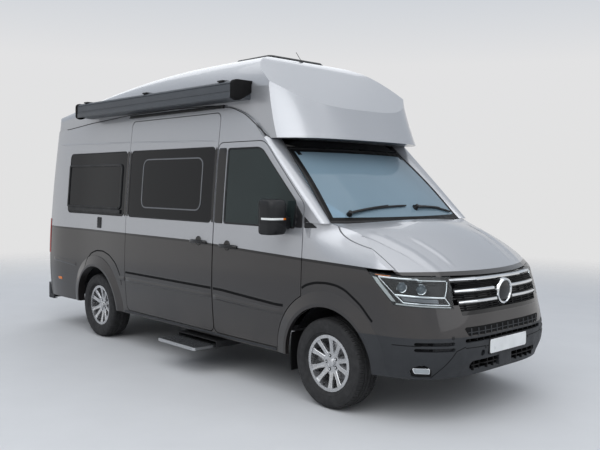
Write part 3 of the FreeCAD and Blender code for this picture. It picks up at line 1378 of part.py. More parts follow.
def header_band():
    """Dark band across the cab's head, between the windscreen and the roof's nose"""
    front = SCREEN_HIGH_X + SCREEN_HIGH_BULGE
    points = [Vector(SCREEN_HIGH_X - SIDE_WALL, -HEADER_HALF_WIDTH, 0),
              Vector(SCREEN_HIGH_X + SCREEN_HIGH_BULGE / 2,
                     -HEADER_HALF_WIDTH * HEADER_MIDDLE_SHARES[0], 0),
              Vector(front, -HEADER_HALF_WIDTH * HEADER_MIDDLE_SHARES[1], 0),
              Vector(front + SCREEN_BOW, 0, 0)]
    points += [Vector(p.x, -p.y, 0) for p in reversed(points[:-1])]
    back = [points[-1], Vector(HEADER_BACK_X, HEADER_HALF_WIDTH, 0),
            Vector(HEADER_BACK_X, -HEADER_HALF_WIDTH, 0),
            points[0]]
    edges = [spline(points)]
    for start, end in zip(back[:-1], back[1:]):
        edges.append(Part.LineSegment(start, end).toShape())
    plate = Part.Face(Part.Wire(edges))
    plate.translate(Vector(0, 0, SCREEN_HIGH_Z + SCREEN_THICK))
    band = plate.extrude(Vector(0, 0,
                                cap_base_points(0)[-1].z - SEAT_GAP - SCREEN_HIGH_Z - SCREEN_THICK))
    band = band.cut(screen_slab(SEAT_GAP + SIDE_WALL, SIDE_WALL + SCREEN_THICK + 2 * SEAT_GAP,
                                SCREEN_REACH_SHARE))
    sides = pillar().fuse(mirrored(pillar()))
    return biggest(band.cut(sides).cut(side_slab(-SIDE_WALL, 2 * SIDE_WALL)))


def cowl():
    """Dark tray under the windscreen's foot, with a lip up to the bonnet"""
    front = BONNET_CORNER_X + BONNET_REAR_BOW
    shelf_z = SCREEN_LOW_Z - SCREEN_THICK * math.sin(math.radians(SCREEN_SLOPE_DEG)) - SEAT_GAP
    shelf = block(Vector(COWL_BACK_X, -COWL_HALF_WIDTH, COWL_LOW_Z),
                  Vector(front, COWL_HALF_WIDTH, shelf_z))
    lip = block(Vector(COWL_BACK_X, -COWL_HALF_WIDTH, COWL_LOW_Z),
                Vector(front, COWL_HALF_WIDTH, BONNET_REAR_Z))
    tray = shelf.fuse(lip.cut(screen_slab(SEAT_GAP, OVERRUN, SCREEN_REACH_SHARE)))
    tray = tray.cut(bonnet_roof(-SCREEN_THICK)).cut(bonnet_region(SHUT_GAP))
    under = bonnet_roof(-NOSE_WALL - SEAT_GAP)
    for middle in (-BONNET_HINGE_Y, BONNET_HINGE_Y):
        hinge = block(Vector(BONNET_CORNER_X, middle - BONNET_HINGE_WIDTH / 2, COWL_LOW_Z),
                      Vector(BONNET_CORNER_X + BONNET_HINGE_LENGTH, middle + BONNET_HINGE_WIDTH / 2,
                             BONNET_REAR_Z))
        tray = tray.fuse(hinge.cut(under))
    return biggest(tray)


def turned(points):
    """A solid of revolution about the Y axis from (distance, y) pairs"""
    outline = [Vector(radius, y, 0) for radius, y in points]
    face = Part.Face(Part.makePolygon(outline + [outline[0]]))
    return face.revolve(Vector(0, 0, 0), Vector(0, 1, 0), 360)


def tyre():
    """A tyre about the Y axis, with rounded shoulders and bulged walls"""
    half = TYRE_WIDTH / 2
    tread = TYRE_TREAD_WIDTH / 2
    bead = RIM_WIDTH / 2 - RIM_LIP
    middle = (TYRE_RADIUS + TYRE_BEAD_RADIUS) / 2
    heel = Vector(TYRE_BEAD_RADIUS, bead - SEAT_GAP, 0)
    wall = [Vector(RIM_RADIUS + RIM_LIP / 2 + SEAT_GAP, bead + RIM_LIP / 2 - SEAT_GAP, 0),
            Vector(RIM_RADIUS + RIM_LIP, bead + RIM_LIP, 0),
            Vector(middle, half, 0), Vector(TYRE_RADIUS - TYRE_SHOULDER, half - RIM_BARREL, 0),
            Vector(TYRE_RADIUS - RIM_BARREL / 2, tread, 0)]
    left = Part.BSplineCurve()
    left.interpolate(wall)
    right_points = [Vector(p.x, -p.y, 0) for p in reversed(wall)]
    right = Part.BSplineCurve()
    right.interpolate(right_points)
    crown = Part.Arc(wall[-1], Vector(TYRE_RADIUS, 0, 0), right_points[0]).toShape()
    far_heel = Vector(heel.x, -heel.y, 0)
    bore = [Part.LineSegment(right_points[-1], far_heel).toShape(),
            Part.LineSegment(far_heel, heel).toShape(), Part.LineSegment(heel, wall[0]).toShape()]
    face = Part.Face(Part.Wire([left.toShape(), crown, right.toShape()] + bore))
    return face.revolve(Vector(0, 0, 0), Vector(0, 1, 0), 360)


def rim():
    """An alloy rim about the Y axis, its face towards -Y, on five pairs of spokes"""
    half = RIM_WIDTH / 2
    seat = TYRE_BEAD_RADIUS - SEAT_GAP
    barrel = turned([(seat - RIM_BARREL, -half), (RIM_RADIUS + RIM_LIP / 2, -half),
                     (RIM_RADIUS + RIM_LIP / 2, -half + RIM_LIP / 2), (seat, -half + RIM_LIP),
                     (seat, half - RIM_LIP), (RIM_RADIUS + RIM_LIP / 2, half - RIM_LIP / 2),
                     (RIM_RADIUS + RIM_LIP / 2, half), (seat - RIM_BARREL, half)])
    face_y = -half + RIM_LIP
    hub = turned([(0, face_y + SPOKE_DISH), (RIM_HUB_RADIUS, face_y + SPOKE_DISH),
                  (RIM_HUB_RADIUS, face_y + SPOKE_DISH + RIM_HUB_DEPTH),
                  (0, face_y + SPOKE_DISH + RIM_HUB_DEPTH)])
    cap = Part.makeCylinder(HUB_CAP_RADIUS, RIM_LIP, Vector(0, face_y + SPOKE_DISH - RIM_LIP, 0),
                            Vector(0, 1, 0))
    wheel = barrel.fuse(hub).fuse(cap)
    inner = RIM_HUB_RADIUS - RIM_BARREL
    outer = seat - RIM_BARREL / 2
    side = [(inner, face_y + SPOKE_DISH, 0), (outer, face_y, 0), (outer, face_y + SPOKE_DEPTH, 0),
            (inner, face_y + SPOKE_DISH + SPOKE_DEPTH, 0)]
    blade = prism(side, "xy", -SPOKE_WIDTH_HUB, SPOKE_WIDTH_HUB)
    plan = [Vector(inner, -seat, -SPOKE_WIDTH_HUB / 2), Vector(outer, -seat, -SPOKE_WIDTH_LIP / 2),
            Vector(outer, -seat, SPOKE_WIDTH_LIP / 2), Vector(inner, -seat, SPOKE_WIDTH_HUB / 2)]
    taper = Part.Face(Part.makePolygon(plan + [plan[0]])).extrude(Vector(0, 2 * seat, 0))
    spoke = blade.common(taper)
    for pair in range(SPOKE_PAIRS):
        for sign in (-1, 1):
            turn = 360 * pair / SPOKE_PAIRS + sign * SPOKE_PAIR_DEG / 2
            copy = spoke.copy()
            copy.rotate(Vector(0, 0, 0), Vector(0, 1, 0), turn)
            wheel = wheel.fuse(copy)
    return solids_of(wheel)


def wheel_set(shape, x, track, side):
    """Places a wheel part made with its face towards -Y"""
    placed = shape.copy()
    if side > 0:
        placed = mirrored(placed)
    placed.translate(Vector(x, side * track / 2, TYRE_RADIUS))
    return placed


def knuckle():
    """Right steering knuckle with its upright, hub and sprung strut"""
    post = Part.makeCylinder(KNUCKLE_RADIUS, KNUCKLE_HIGH_Z - KNUCKLE_LOW_Z,
                             Vector(FRONT_AXLE_X, -KINGPIN_Y, KNUCKLE_LOW_Z), Vector(0, 0, 1))
    back_y = hub_face_y(FRONT_TRACK)
    hub = Part.makeCylinder(HUB_RADIUS, back_y - SEAT_GAP - KINGPIN_Y + KNUCKLE_RADIUS,
                            Vector(FRONT_AXLE_X, -back_y + SEAT_GAP, TYRE_RADIUS), Vector(0, 1, 0))
    bridge = block(Vector(FRONT_AXLE_X - KNUCKLE_RADIUS, -KINGPIN_Y,
                          KNUCKLE_HIGH_Z - 2 * KNUCKLE_RADIUS),
                   Vector(FRONT_AXLE_X + KNUCKLE_RADIUS, -STRUT_Y, KNUCKLE_HIGH_Z))
    strut = Part.makeCylinder(STRUT_RADIUS, STRUT_TOP_Z - KNUCKLE_HIGH_Z + 2 * KNUCKLE_RADIUS,
                              Vector(FRONT_AXLE_X, -STRUT_Y, KNUCKLE_HIGH_Z - 2 * KNUCKLE_RADIUS),
                              Vector(0, 0, 1))
    coil = Part.makeCylinder(SPRING_RADIUS, SPRING_HIGH_Z - SPRING_LOW_Z,
                             Vector(FRONT_AXLE_X, -STRUT_Y, SPRING_LOW_Z), Vector(0, 0, 1))
    return solids_of(post.fuse(hub).fuse(bridge).fuse(strut).fuse(coil))


def hub_face_y(track):
    """Distance from the middle of the face where a wheel bolts on"""
    return track / 2 + RIM_WIDTH / 2 - RIM_LIP - SPOKE_DISH - RIM_HUB_DEPTH


def front_subframe():
    """Cross member under the engine with an arm out to each knuckle"""
    half = SUBFRAME_LENGTH / 2
    tray = prism(rectangle(FRONT_AXLE_X - half, FRONT_AXLE_X + half, -SUBFRAME_HALF_WIDTH,
                           SUBFRAME_HALF_WIDTH,
                           SUBFRAME_THICK), "xy", SUBFRAME_Z, SUBFRAME_Z + SUBFRAME_THICK)
    arm_top = KNUCKLE_LOW_Z - SEAT_GAP
    arm = block(Vector(FRONT_AXLE_X - ARM_WIDTH / 2, -KINGPIN_Y - KNUCKLE_RADIUS, arm_top - ARM_THICK),
                Vector(FRONT_AXLE_X + ARM_WIDTH / 2, -SUBFRAME_HALF_WIDTH + ARM_WIDTH, arm_top))
    drop = block(Vector(FRONT_AXLE_X - ARM_WIDTH / 2, -SUBFRAME_HALF_WIDTH, arm_top - ARM_THICK),
                 Vector(FRONT_AXLE_X + ARM_WIDTH / 2, -SUBFRAME_HALF_WIDTH + ARM_WIDTH, SUBFRAME_Z))
    arm = arm.fuse(drop)
    frame = tray.fuse(arm).fuse(mirrored(arm))
    for sign in (-1, 1):
        tower = block(Vector(FRONT_AXLE_X - half, sign * SUBFRAME_HALF_WIDTH - ARM_WIDTH * (sign > 0),
                             SUBFRAME_Z),
                      Vector(FRONT_AXLE_X - half + ARM_WIDTH,
                             sign * SUBFRAME_HALF_WIDTH + ARM_WIDTH * (sign < 0), rail_low_z()))
        frame = frame.fuse(tower)
    return solids_of(frame)


def rail_low_z():
    """Underside of the chassis rails"""
    return FLOOR_Z - FLOOR_THICK - RAIL_HEIGHT


def rear_axle():
    """Beam axle on two leaf springs hung from the rails"""
    hub_y = hub_face_y(REAR_TRACK) - SEAT_GAP
    beam = Part.makeCylinder(AXLE_TUBE_RADIUS, 2 * hub_y, Vector(REAR_AXLE_X, -hub_y, TYRE_RADIUS),
                             Vector(0, 1, 0))
    axle = beam
    for sign in (-1, 1):
        spring_mid = TYRE_RADIUS - AXLE_TUBE_RADIUS
        ends_z = rail_low_z() - LEAF_THICK
        low = Part.Arc(Vector(REAR_AXLE_X - LEAF_REACH, 0, ends_z), Vector(REAR_AXLE_X, 0, spring_mid),
                       Vector(REAR_AXLE_X + LEAF_REACH, 0, ends_z)).toShape()
        high = Part.Arc(Vector(REAR_AXLE_X - LEAF_REACH, 0, ends_z + LEAF_THICK),
                        Vector(REAR_AXLE_X, 0, spring_mid + LEAF_THICK),
                        Vector(REAR_AXLE_X + LEAF_REACH, 0, ends_z + LEAF_THICK)).toShape()
        ends = [Part.LineSegment(Vector(REAR_AXLE_X + way * LEAF_REACH, 0, ends_z),
                                 Vector(REAR_AXLE_X + way * LEAF_REACH, 0,
                                        ends_z + LEAF_THICK)).toShape()
                for way in (-1, 1)]
        face = Part.Face(Part.Wire(Part.__sortEdges__([low, high] + ends)))
        face.translate(Vector(0, sign * RAIL_Y - LEAF_WIDTH / 2, 0))
        axle = axle.fuse(face.extrude(Vector(0, LEAF_WIDTH, 0)))
    for sign in (-1, 1):
        flange = Part.makeCylinder(HUB_RADIUS, HUB_RADIUS,
                                   Vector(REAR_AXLE_X, sign * hub_y, TYRE_RADIUS),
                                   Vector(0, -sign, 0))
        axle = axle.fuse(flange)
    low_side = block(Vector(-LENGTH, -MIRROR_WIDTH, rail_low_z() - SEAT_GAP),
                     Vector(LENGTH, MIRROR_WIDTH, HEIGHT))
    return solids_of(axle.cut(low_side))


def wheel_gap(x, inner_y):
    """Room for a wheel housing on each side, cut from the floor"""
    cylinder = wheel_cylinder(x, HOUSE_RADIUS + HOUSE_WALL, inner_y, MIRROR_WIDTH)
    return cylinder.fuse(mirrored(cylinder))


def floor_pan():
    """Floor sheet on two long rails, with the wall behind the engine"""
    sheet = block(Vector(FLOOR_REAR_X, -FLOOR_HALF_WIDTH, FLOOR_Z - FLOOR_THICK),
                  Vector(FLOOR_FRONT_X, FLOOR_HALF_WIDTH, FLOOR_Z))
    notch = prism(post_corners(FLOOR_Z, SHUT_GAP), "xy", FLOOR_Z - OVERRUN, FLOOR_Z + OVERRUN)
    sheet = sheet.cut(notch).cut(mirrored(notch))
    wall = block(Vector(FIREWALL_X, -FRONT_HOUSE_INNER_Y + HOUSE_WALL, FLOOR_Z - FLOOR_THICK),
                 Vector(FIREWALL_X + FIREWALL_THICK, FRONT_HOUSE_INNER_Y - HOUSE_WALL, FIREWALL_TOP_Z))
    upper = block(Vector(FIREWALL_X, -FIREWALL_HALF_WIDTH, BELT_Z),
                  Vector(FIREWALL_X + FIREWALL_THICK, FIREWALL_HALF_WIDTH, FIREWALL_TOP_Z))
    toe = block(Vector(FLOOR_FRONT_X - SIDE_WALL, -FRONT_HOUSE_INNER_Y + HOUSE_WALL,
                       FLOOR_Z - FLOOR_THICK),
                Vector(FIREWALL_X + FIREWALL_THICK, FRONT_HOUSE_INNER_Y - HOUSE_WALL, FLOOR_Z))
    pan = sheet.fuse(wall).fuse(upper).fuse(toe)
    for sign in (-1, 1):
        rail = block(Vector(RAIL_REAR_X, sign * RAIL_Y - RAIL_WIDTH / 2, rail_low_z()),
                     Vector(RAIL_FRONT_X, sign * RAIL_Y + RAIL_WIDTH / 2, FLOOR_Z - FLOOR_THICK))
        rail = rail.cut(block(Vector(FIREWALL_X, -LENGTH, 0), Vector(LENGTH, LENGTH, HEIGHT)))
        front = block(Vector(FIREWALL_X - SIDE_WALL, sign * RAIL_Y - RAIL_WIDTH / 2, rail_low_z()),
                      Vector(RAIL_FRONT_X, sign * RAIL_Y + RAIL_WIDTH / 2, FLOOR_Z - FLOOR_THICK))
        front.translate(Vector(0, -sign * (RAIL_WIDTH), 0))
        pan = pan.fuse(rail).fuse(front)
    pan = pan.cut(wheel_gap(REAR_AXLE_X, REAR_HOUSE_INNER_Y)).cut(wheel_gap(FRONT_AXLE_X,
                                                                            FRONT_HOUSE_INNER_Y))
    return solids_of(pan)


def wheel_housing(x, inner_y, outer_y):
    """A half-round housing over the right wheel"""
    shell = wheel_cylinder(x, HOUSE_RADIUS + HOUSE_WALL - SEAT_GAP, inner_y + SEAT_GAP, outer_y)
    shell = shell.cut(wheel_cylinder(x, HOUSE_RADIUS, inner_y + HOUSE_WALL, outer_y + HOUSE_WALL))
    return shell.cut(wide_box(-LENGTH, LENGTH, -HEIGHT, FLOOR_Z - FLOOR_THICK))


def wheelhouses():
    """Four housings, closed towards the middle"""
    outer = side_y(REAR_AXLE_X - ARCH_RADIUS, SILL_Z) - SIDE_WALL - SEAT_GAP
    front_outer = side_y(NOSE_CORNER_X, SILL_Z) - NOSE_WALL - HOUSE_WALL
    rear = wheel_housing(REAR_AXLE_X, REAR_HOUSE_INNER_Y, outer)
    front = wheel_housing(FRONT_AXLE_X, FRONT_HOUSE_INNER_Y, front_outer)
    return Part.Compound([rear, mirrored(rear), front, mirrored(front)])


def awning():
    """Wound-up awning in its long cassette"""
    outline = [(-AWNING_OUTER_Y, AWNING_LOW_Z + AWNING_RADIUS / 2, AWNING_RADIUS),
               (-AWNING_OUTER_Y, AWNING_HIGH_Z, AWNING_RADIUS),
               (-AWNING_OUTER_Y + AWNING_DEPTH, AWNING_HIGH_Z, 0),
               (-AWNING_OUTER_Y + AWNING_DEPTH, AWNING_LOW_Z, 0)]
    cassette = prism(outline, "yz", AWNING_REAR_X, AWNING_FRONT_X)
    cassette = cassette.cut(cap_form(-SEAT_GAP)).cut(side_slab(-SEAT_GAP, BODY_HALF_WIDTH))
    return biggest(cassette)


def step_tread():
    """The step, drawn out on two flat arms"""
    low_z = STEP_TREAD_Z - STEP_TREAD_THICK
    board = prism(rectangle(STEP_REAR_X, STEP_REAR_X + STEP_LENGTH, -STEP_OUTER_Y,
                            -STEP_OUTER_Y + STEP_DEPTH,
                            STEP_TREAD_THICK), "xy", low_z, STEP_TREAD_Z)
    for x in (STEP_REAR_X + STEP_ARM_WIDTH, STEP_REAR_X + STEP_LENGTH - 2 * STEP_ARM_WIDTH):
        arm = block(Vector(x, -STEP_OUTER_Y + STEP_DEPTH / 2, low_z),
                    Vector(x + STEP_ARM_WIDTH, -STEP_OUTER_Y + STEP_DEPTH / 2 + STEP_ARM_LENGTH,
                           STEP_TREAD_Z - STEP_HOUSING_THICK))
        board = board.fuse(arm)
    return solids_of(board)


def step_housing():
    """Open-ended case under the floor that the step slides into"""
    low_z = STEP_TREAD_Z - STEP_TREAD_THICK - STEP_HOUSING_THICK - SEAT_GAP
    high_z = low_z + STEP_HOUSING_HEIGHT
    outer_y = -side_y(0, SILL_Z) + SIDE_WALL / 2
    margin = STEP_HOUSING_THICK + SHUT_GAP
    case = block(Vector(STEP_REAR_X - margin, outer_y, low_z),
                 Vector(STEP_REAR_X + STEP_LENGTH + margin, outer_y + STEP_HOUSING_DEPTH, high_z))
    hollow = block(Vector(STEP_REAR_X - SHUT_GAP, outer_y - SIDE_WALL, low_z + STEP_HOUSING_THICK),
                   Vector(STEP_REAR_X + STEP_LENGTH + SHUT_GAP,
                          outer_y + STEP_HOUSING_DEPTH - STEP_HOUSING_THICK,
                          high_z - STEP_HOUSING_THICK))
    case = case.cut(hollow)
    for x in (STEP_REAR_X, STEP_REAR_X + STEP_LENGTH - STEP_ARM_WIDTH):
        hanger = block(Vector(x, -RAIL_Y - RAIL_WIDTH / 2, high_z - STEP_HOUSING_THICK),
                       Vector(x + STEP_ARM_WIDTH, -RAIL_Y + RAIL_WIDTH / 2, rail_low_z()))
        case = case.fuse(hanger)
    return solids_of(case)


def rear_bumper():
    """Rear bumper with a flat step on top and rounded corners"""
    half = side_y(REAR_DOOR_X, SILL_Z) + TAIL_LAMP_PROUD
    front = REAR_DOOR_X + POST_SIZE
    outline = rectangle(-HALF_LENGTH, front, -half, half, 0)
    outline[0] = (-HALF_LENGTH, -half, REAR_BUMPER_RADIUS)
    outline[3] = (-HALF_LENGTH, half, REAR_BUMPER_RADIUS)
    high_z = REAR_SILL_Z - REAR_FRAME_BAND - SEAT_GAP
    bumper = prism(outline, "xy", high_z - REAR_BUMPER_HEIGHT, high_z)
    pocket = block(Vector(-HALF_LENGTH + REAR_BUMPER_DEPTH, -half + REAR_BUMPER_DEPTH / 2, 0),
                   Vector(LENGTH, half - REAR_BUMPER_DEPTH / 2, high_z - SIDE_WALL))
    bumper = bumper.cut(pocket)
    posts = once("post room", post_room)
    low_post = block(Vector(REAR_DOOR_X + SIDE_WALL, -LENGTH, SILL_Z - SEAT_GAP),
                     Vector(LENGTH, LENGTH, HEIGHT))
    bumper = bumper.cut(posts).cut(mirrored(posts)).cut(low_post)
    return biggest(bumper)


def engine_block():
    """The engine and gearbox as one plain block"""
    return block(Vector(ENGINE_REAR_X, -ENGINE_WIDTH / 2, SUBFRAME_Z + SUBFRAME_THICK),
                 Vector(ENGINE_REAR_X + ENGINE_LENGTH, ENGINE_WIDTH / 2,
                        SUBFRAME_Z + SUBFRAME_THICK + ENGINE_HEIGHT))


def fuel_tank():
    """Flat tank under the floor"""
    high_z = FLOOR_Z - FLOOR_THICK
    tank = prism(rectangle(TANK_REAR_X, TANK_REAR_X + TANK_LENGTH, TANK_Y - TANK_WIDTH / 2,
                           TANK_Y + TANK_WIDTH / 2,
                           TANK_RADIUS), "xy", high_z - TANK_HEIGHT, high_z)
    low = [edge for edge in tank.Edges if edge.BoundBox.ZMax < high_z - TANK_HEIGHT / 2]
    return tank.makeFillet(TANK_RADIUS / 2, low)


def exhaust():
    """Exhaust pipe with one silencer, hung from the floor"""
    pipe = Part.makeCylinder(EXHAUST_RADIUS, SILENCER_LENGTH + EXHAUST_FRONT_X - SILENCER_REAR_X,
                             Vector(SILENCER_REAR_X - SILENCER_LENGTH, EXHAUST_Y, EXHAUST_Z),
                             Vector(1, 0, 0))
    silencer = Part.makeCylinder(SILENCER_RADIUS, SILENCER_LENGTH,
                                 Vector(SILENCER_REAR_X, EXHAUST_Y, EXHAUST_Z),
                                 Vector(1, 0, 0))
    hangers = [block(Vector(x, EXHAUST_Y - EXHAUST_RADIUS / 4, EXHAUST_Z),
                     Vector(x + EXHAUST_RADIUS, EXHAUST_Y + EXHAUST_RADIUS / 4, FLOOR_Z - FLOOR_THICK))
               for x in (SILENCER_REAR_X, EXHAUST_FRONT_X - 4 * EXHAUST_RADIUS)]
    return solids_of(pipe.fuse(silencer).fuse(hangers[0]).fuse(hangers[1]))


def dashboard():
    """Dashboard across the cab, with a raised brow over the instruments"""
    outline = [(FIREWALL_X - SEAT_GAP, DASH_LOW_Z, 0),
               (FIREWALL_X - SEAT_GAP, DASH_HIGH_Z - DASH_LIP / 2, 0),
               (DASH_REAR_X + DASH_LIP, DASH_HIGH_Z, DASH_LIP / 2),
               (DASH_REAR_X, DASH_HIGH_Z - DASH_LIP, DASH_LIP / 2),
               (DASH_REAR_X + DASH_LIP, DASH_LOW_Z, DASH_LIP / 2)]
    dash = prism(outline, "xz", -DASH_HALF_WIDTH, DASH_HALF_WIDTH)
    column = Part.makeCylinder(STEER_HUB_RADIUS / 2, OVERRUN,
                               steer_centre() + steer_axis() * (-OVERRUN), steer_axis())
    column.translate(steer_axis() * (-STEER_RIM_RADIUS * 2 - SEAT_GAP))
    return solids_of(dash.fuse(column.cut(block(Vector(FIREWALL_X - SIDE_WALL, -LENGTH, 0),
                                                Vector(LENGTH, LENGTH, HEIGHT)))))


def steer_centre():
    """Middle of the steering wheel"""
    return Vector(STEER_WHEEL_X, STEER_WHEEL_Y, STEER_WHEEL_Z)


def steer_axis():
    """The steering column's direction, up and to the rear"""
    tilt = math.radians(STEER_TILT_DEG)
    return Vector(-math.sin(math.pi / 2 - tilt), 0, math.cos(math.pi / 2 - tilt))


def steering_wheel():
    """Rim, three spokes and a boss, square to the column"""
    rim_ring = Part.makeTorus(STEER_WHEEL_RADIUS, STEER_RIM_RADIUS, steer_centre(), steer_axis())
    boss = Part.makeCylinder(STEER_HUB_RADIUS, 3 * STEER_RIM_RADIUS,
                             steer_centre() - steer_axis() * (2 * STEER_RIM_RADIUS),
                             steer_axis())
    wheel = rim_ring.fuse(boss)
    across = Vector(0, 1, 0)
    down = steer_axis().cross(across)
    for direction in (across, across * -1, down * -1):
        spoke = Part.makeCylinder(STEER_SPOKE_RADIUS, STEER_WHEEL_RADIUS, steer_centre(), direction)
        wheel = wheel.fuse(spoke)
    return solids_of(wheel)


def seat(y, rear, facing_width):
    """A seat on a box base, with a leaning back and a head restraint"""
    half = facing_width / 2
    low_z = SEAT_CUSHION_Z - SEAT_CUSHION_THICK
    top_z = SEAT_CUSHION_Z + SEAT_BACK_HEIGHT
    base = block(Vector(rear + SEAT_BACK_LEAN + SEAT_ROUNDING, y - half + SEAT_ROUNDING,
                        FLOOR_Z + SEAT_GAP),
                 Vector(rear + SEAT_DEPTH, y + half - SEAT_ROUNDING, low_z + SEAT_ROUNDING))
    side = [(rear + SEAT_BACK_LEAN, low_z, 0),
            (rear + SEAT_BACK_LEAN + SEAT_DEPTH, low_z, SEAT_ROUNDING),
            (rear + SEAT_BACK_LEAN + SEAT_DEPTH, SEAT_CUSHION_Z, SEAT_ROUNDING),
            (rear + SEAT_BACK_LEAN, SEAT_CUSHION_Z, 0),
            (rear + SEAT_BACK_THICK, top_z, SEAT_ROUNDING),
            (rear, top_z, SEAT_ROUNDING)]
    pads = prism(side, "xz", y - half, y + half)
    head = prism(rectangle(y - HEADREST_WIDTH / 2, y + HEADREST_WIDTH / 2, top_z - 2 * SEAT_ROUNDING,
                           top_z + HEADREST_HEIGHT, SEAT_ROUNDING), "yz",
                 rear + SEAT_ROUNDING / 2, rear + SEAT_BACK_THICK - SEAT_ROUNDING / 2)
    return solids_of(base.fuse(pads).fuse(head))


def seats():
    """Two cab seats and a bench behind the driver"""
    driver = seat(SEAT_Y, SEAT_REAR_X, SEAT_WIDTH)
    bench = seat(SEAT_Y, BENCH_REAR_X, BENCH_WIDTH)
    return Part.Compound([driver, mirrored(driver), bench])


def side_unit(rear, length, depth, low_z, height, sign):
    """A furniture box against a body side, cut to the wall's lean"""
    wall_y = side_y(rear, SILL_Z)
    unit = block(Vector(rear, -wall_y, low_z),
                 Vector(rear + length, -wall_y + depth + SIDE_WALL, low_z + height))
    unit = unit.cut(side_slab(-OVERRUN, OVERRUN + DOOR_WALL + UNIT_INSET))
    unit = solids_of(unit)
    return mirrored(unit) if sign > 0 else unit


def kitchen_unit():
    """Low kitchen block inside the sliding door's rear half"""
    return side_unit(KITCHEN_REAR_X, KITCHEN_LENGTH, KITCHEN_DEPTH, FLOOR_Z + SEAT_GAP, KITCHEN_HEIGHT,
                     -1)


def bathroom_unit():
    """Tall washroom cell on the left, ahead of the rear wheel housing"""
    return side_unit(BATH_REAR_X, BATH_LENGTH, BATH_DEPTH, FLOOR_Z + SEAT_GAP, BATH_HEIGHT, 1)


def rear_bed():
    """Bed across the rear, on a board carried by the body sides"""
    edge = side_y(REAR_DOOR_X, BED_Z) - DOOR_WALL - UNIT_INSET - REAR_TAPER
    bed = prism(rectangle(BED_REAR_X + POST_SIZE, BED_REAR_X + POST_SIZE + BED_LENGTH, -edge, edge,
                          BED_ROUNDING),
                "xy", BED_Z, BED_Z + BED_THICK)
    legs = []
    for x in (BED_REAR_X + POST_SIZE + BED_ROUNDING, BED_REAR_X + BED_LENGTH):
        for sign in (-1, 1):
            inner = sign * REAR_HOUSE_INNER_Y - sign * SIDE_WALL
            low = Vector(x, min(inner, inner - sign * BED_ROUNDING), FLOOR_Z + SEAT_GAP)
            high = Vector(x + BED_ROUNDING, max(inner, inner - sign * BED_ROUNDING), BED_Z)
            legs.append(block(low, high))
    for leg in legs:
        bed = bed.fuse(leg)
    return solids_of(bed)


def build():
    """Makes every sub-part and writes each to its own file"""
    parts = {}
    parts["body_side_right"] = body_side_right()
    parts["body_side_left"] = body_side_left()
    parts["rear_frame"] = rear_frame()
    parts["roof_cap"] = roof_cap()
    parts["roof_hatch"] = roof_hatch()
    parts["windscreen"] = windscreen()
    parts["header_band"] = header_band()
    parts["cowl"] = cowl()
    parts.update(nose_parts())
    parts["sliding_door"] = sliding_door()
    parts["sliding_glass"] = sliding_glass()
    parts["side_glass"] = side_glass()
    door = front_door()
    pane = door_glass()
    arm = mirror()
    leaf = rear_door()
    leaf_pane = rear_glass()
    for name, shape in (("front_door", door), ("door_glass", pane), ("mirror", arm),
                        ("rear_door", leaf),
                        ("rear_glass", leaf_pane), ("knuckle", knuckle())):
        parts[name + "_right"] = shape
        parts[name + "_left"] = mirrored(shape)
    parts["tail_lamps"] = tail_lamps()
    parts["fuel_flap"] = left_flap(fuel_outline)
    parts["service_flap"] = left_flap(service_outline)
    rubber = tyre()
    alloy = rim()
    for place_name, x, track in (("front", FRONT_AXLE_X, FRONT_TRACK),
                                 ("rear", REAR_AXLE_X, REAR_TRACK)):
        for side_name, side in (("right", -1), ("left", 1)):
            parts["tyre_" + place_name + "_" + side_name] = wheel_set(rubber, x, track, side)
            parts["rim_" + place_name + "_" + side_name] = wheel_set(alloy, x, track, side)
    parts["front_subframe"] = front_subframe()
    parts["rear_axle"] = rear_axle()
    parts["floor_pan"] = floor_pan()
    parts["wheelhouses"] = wheelhouses()
    parts["awning"] = awning()
    parts["step_tread"] = step_tread()
    parts["step_housing"] = step_housing()
    parts["rear_bumper"] = rear_bumper()
    parts["engine_block"] = engine_block()
    parts["fuel_tank"] = fuel_tank()
    parts["exhaust"] = exhaust()
    parts["dashboard"] = dashboard()
    parts["steering_wheel"] = steering_wheel()
    parts["seats"] = seats()
    parts["kitchen_unit"] = kitchen_unit()
    parts["bathroom_unit"] = bathroom_unit()
    parts["rear_bed"] = rear_bed()
    return parts


os.makedirs("parts", exist_ok=True)
for node, shape in build().items():
    shape.exportStep("parts/" + node + ".step")
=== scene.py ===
import bpy
import bmesh
from math import atan2, cos, exp, pi, radians, sin
from mathutils import Matrix, Vector
from mathutils.bvhtree import BVHTree


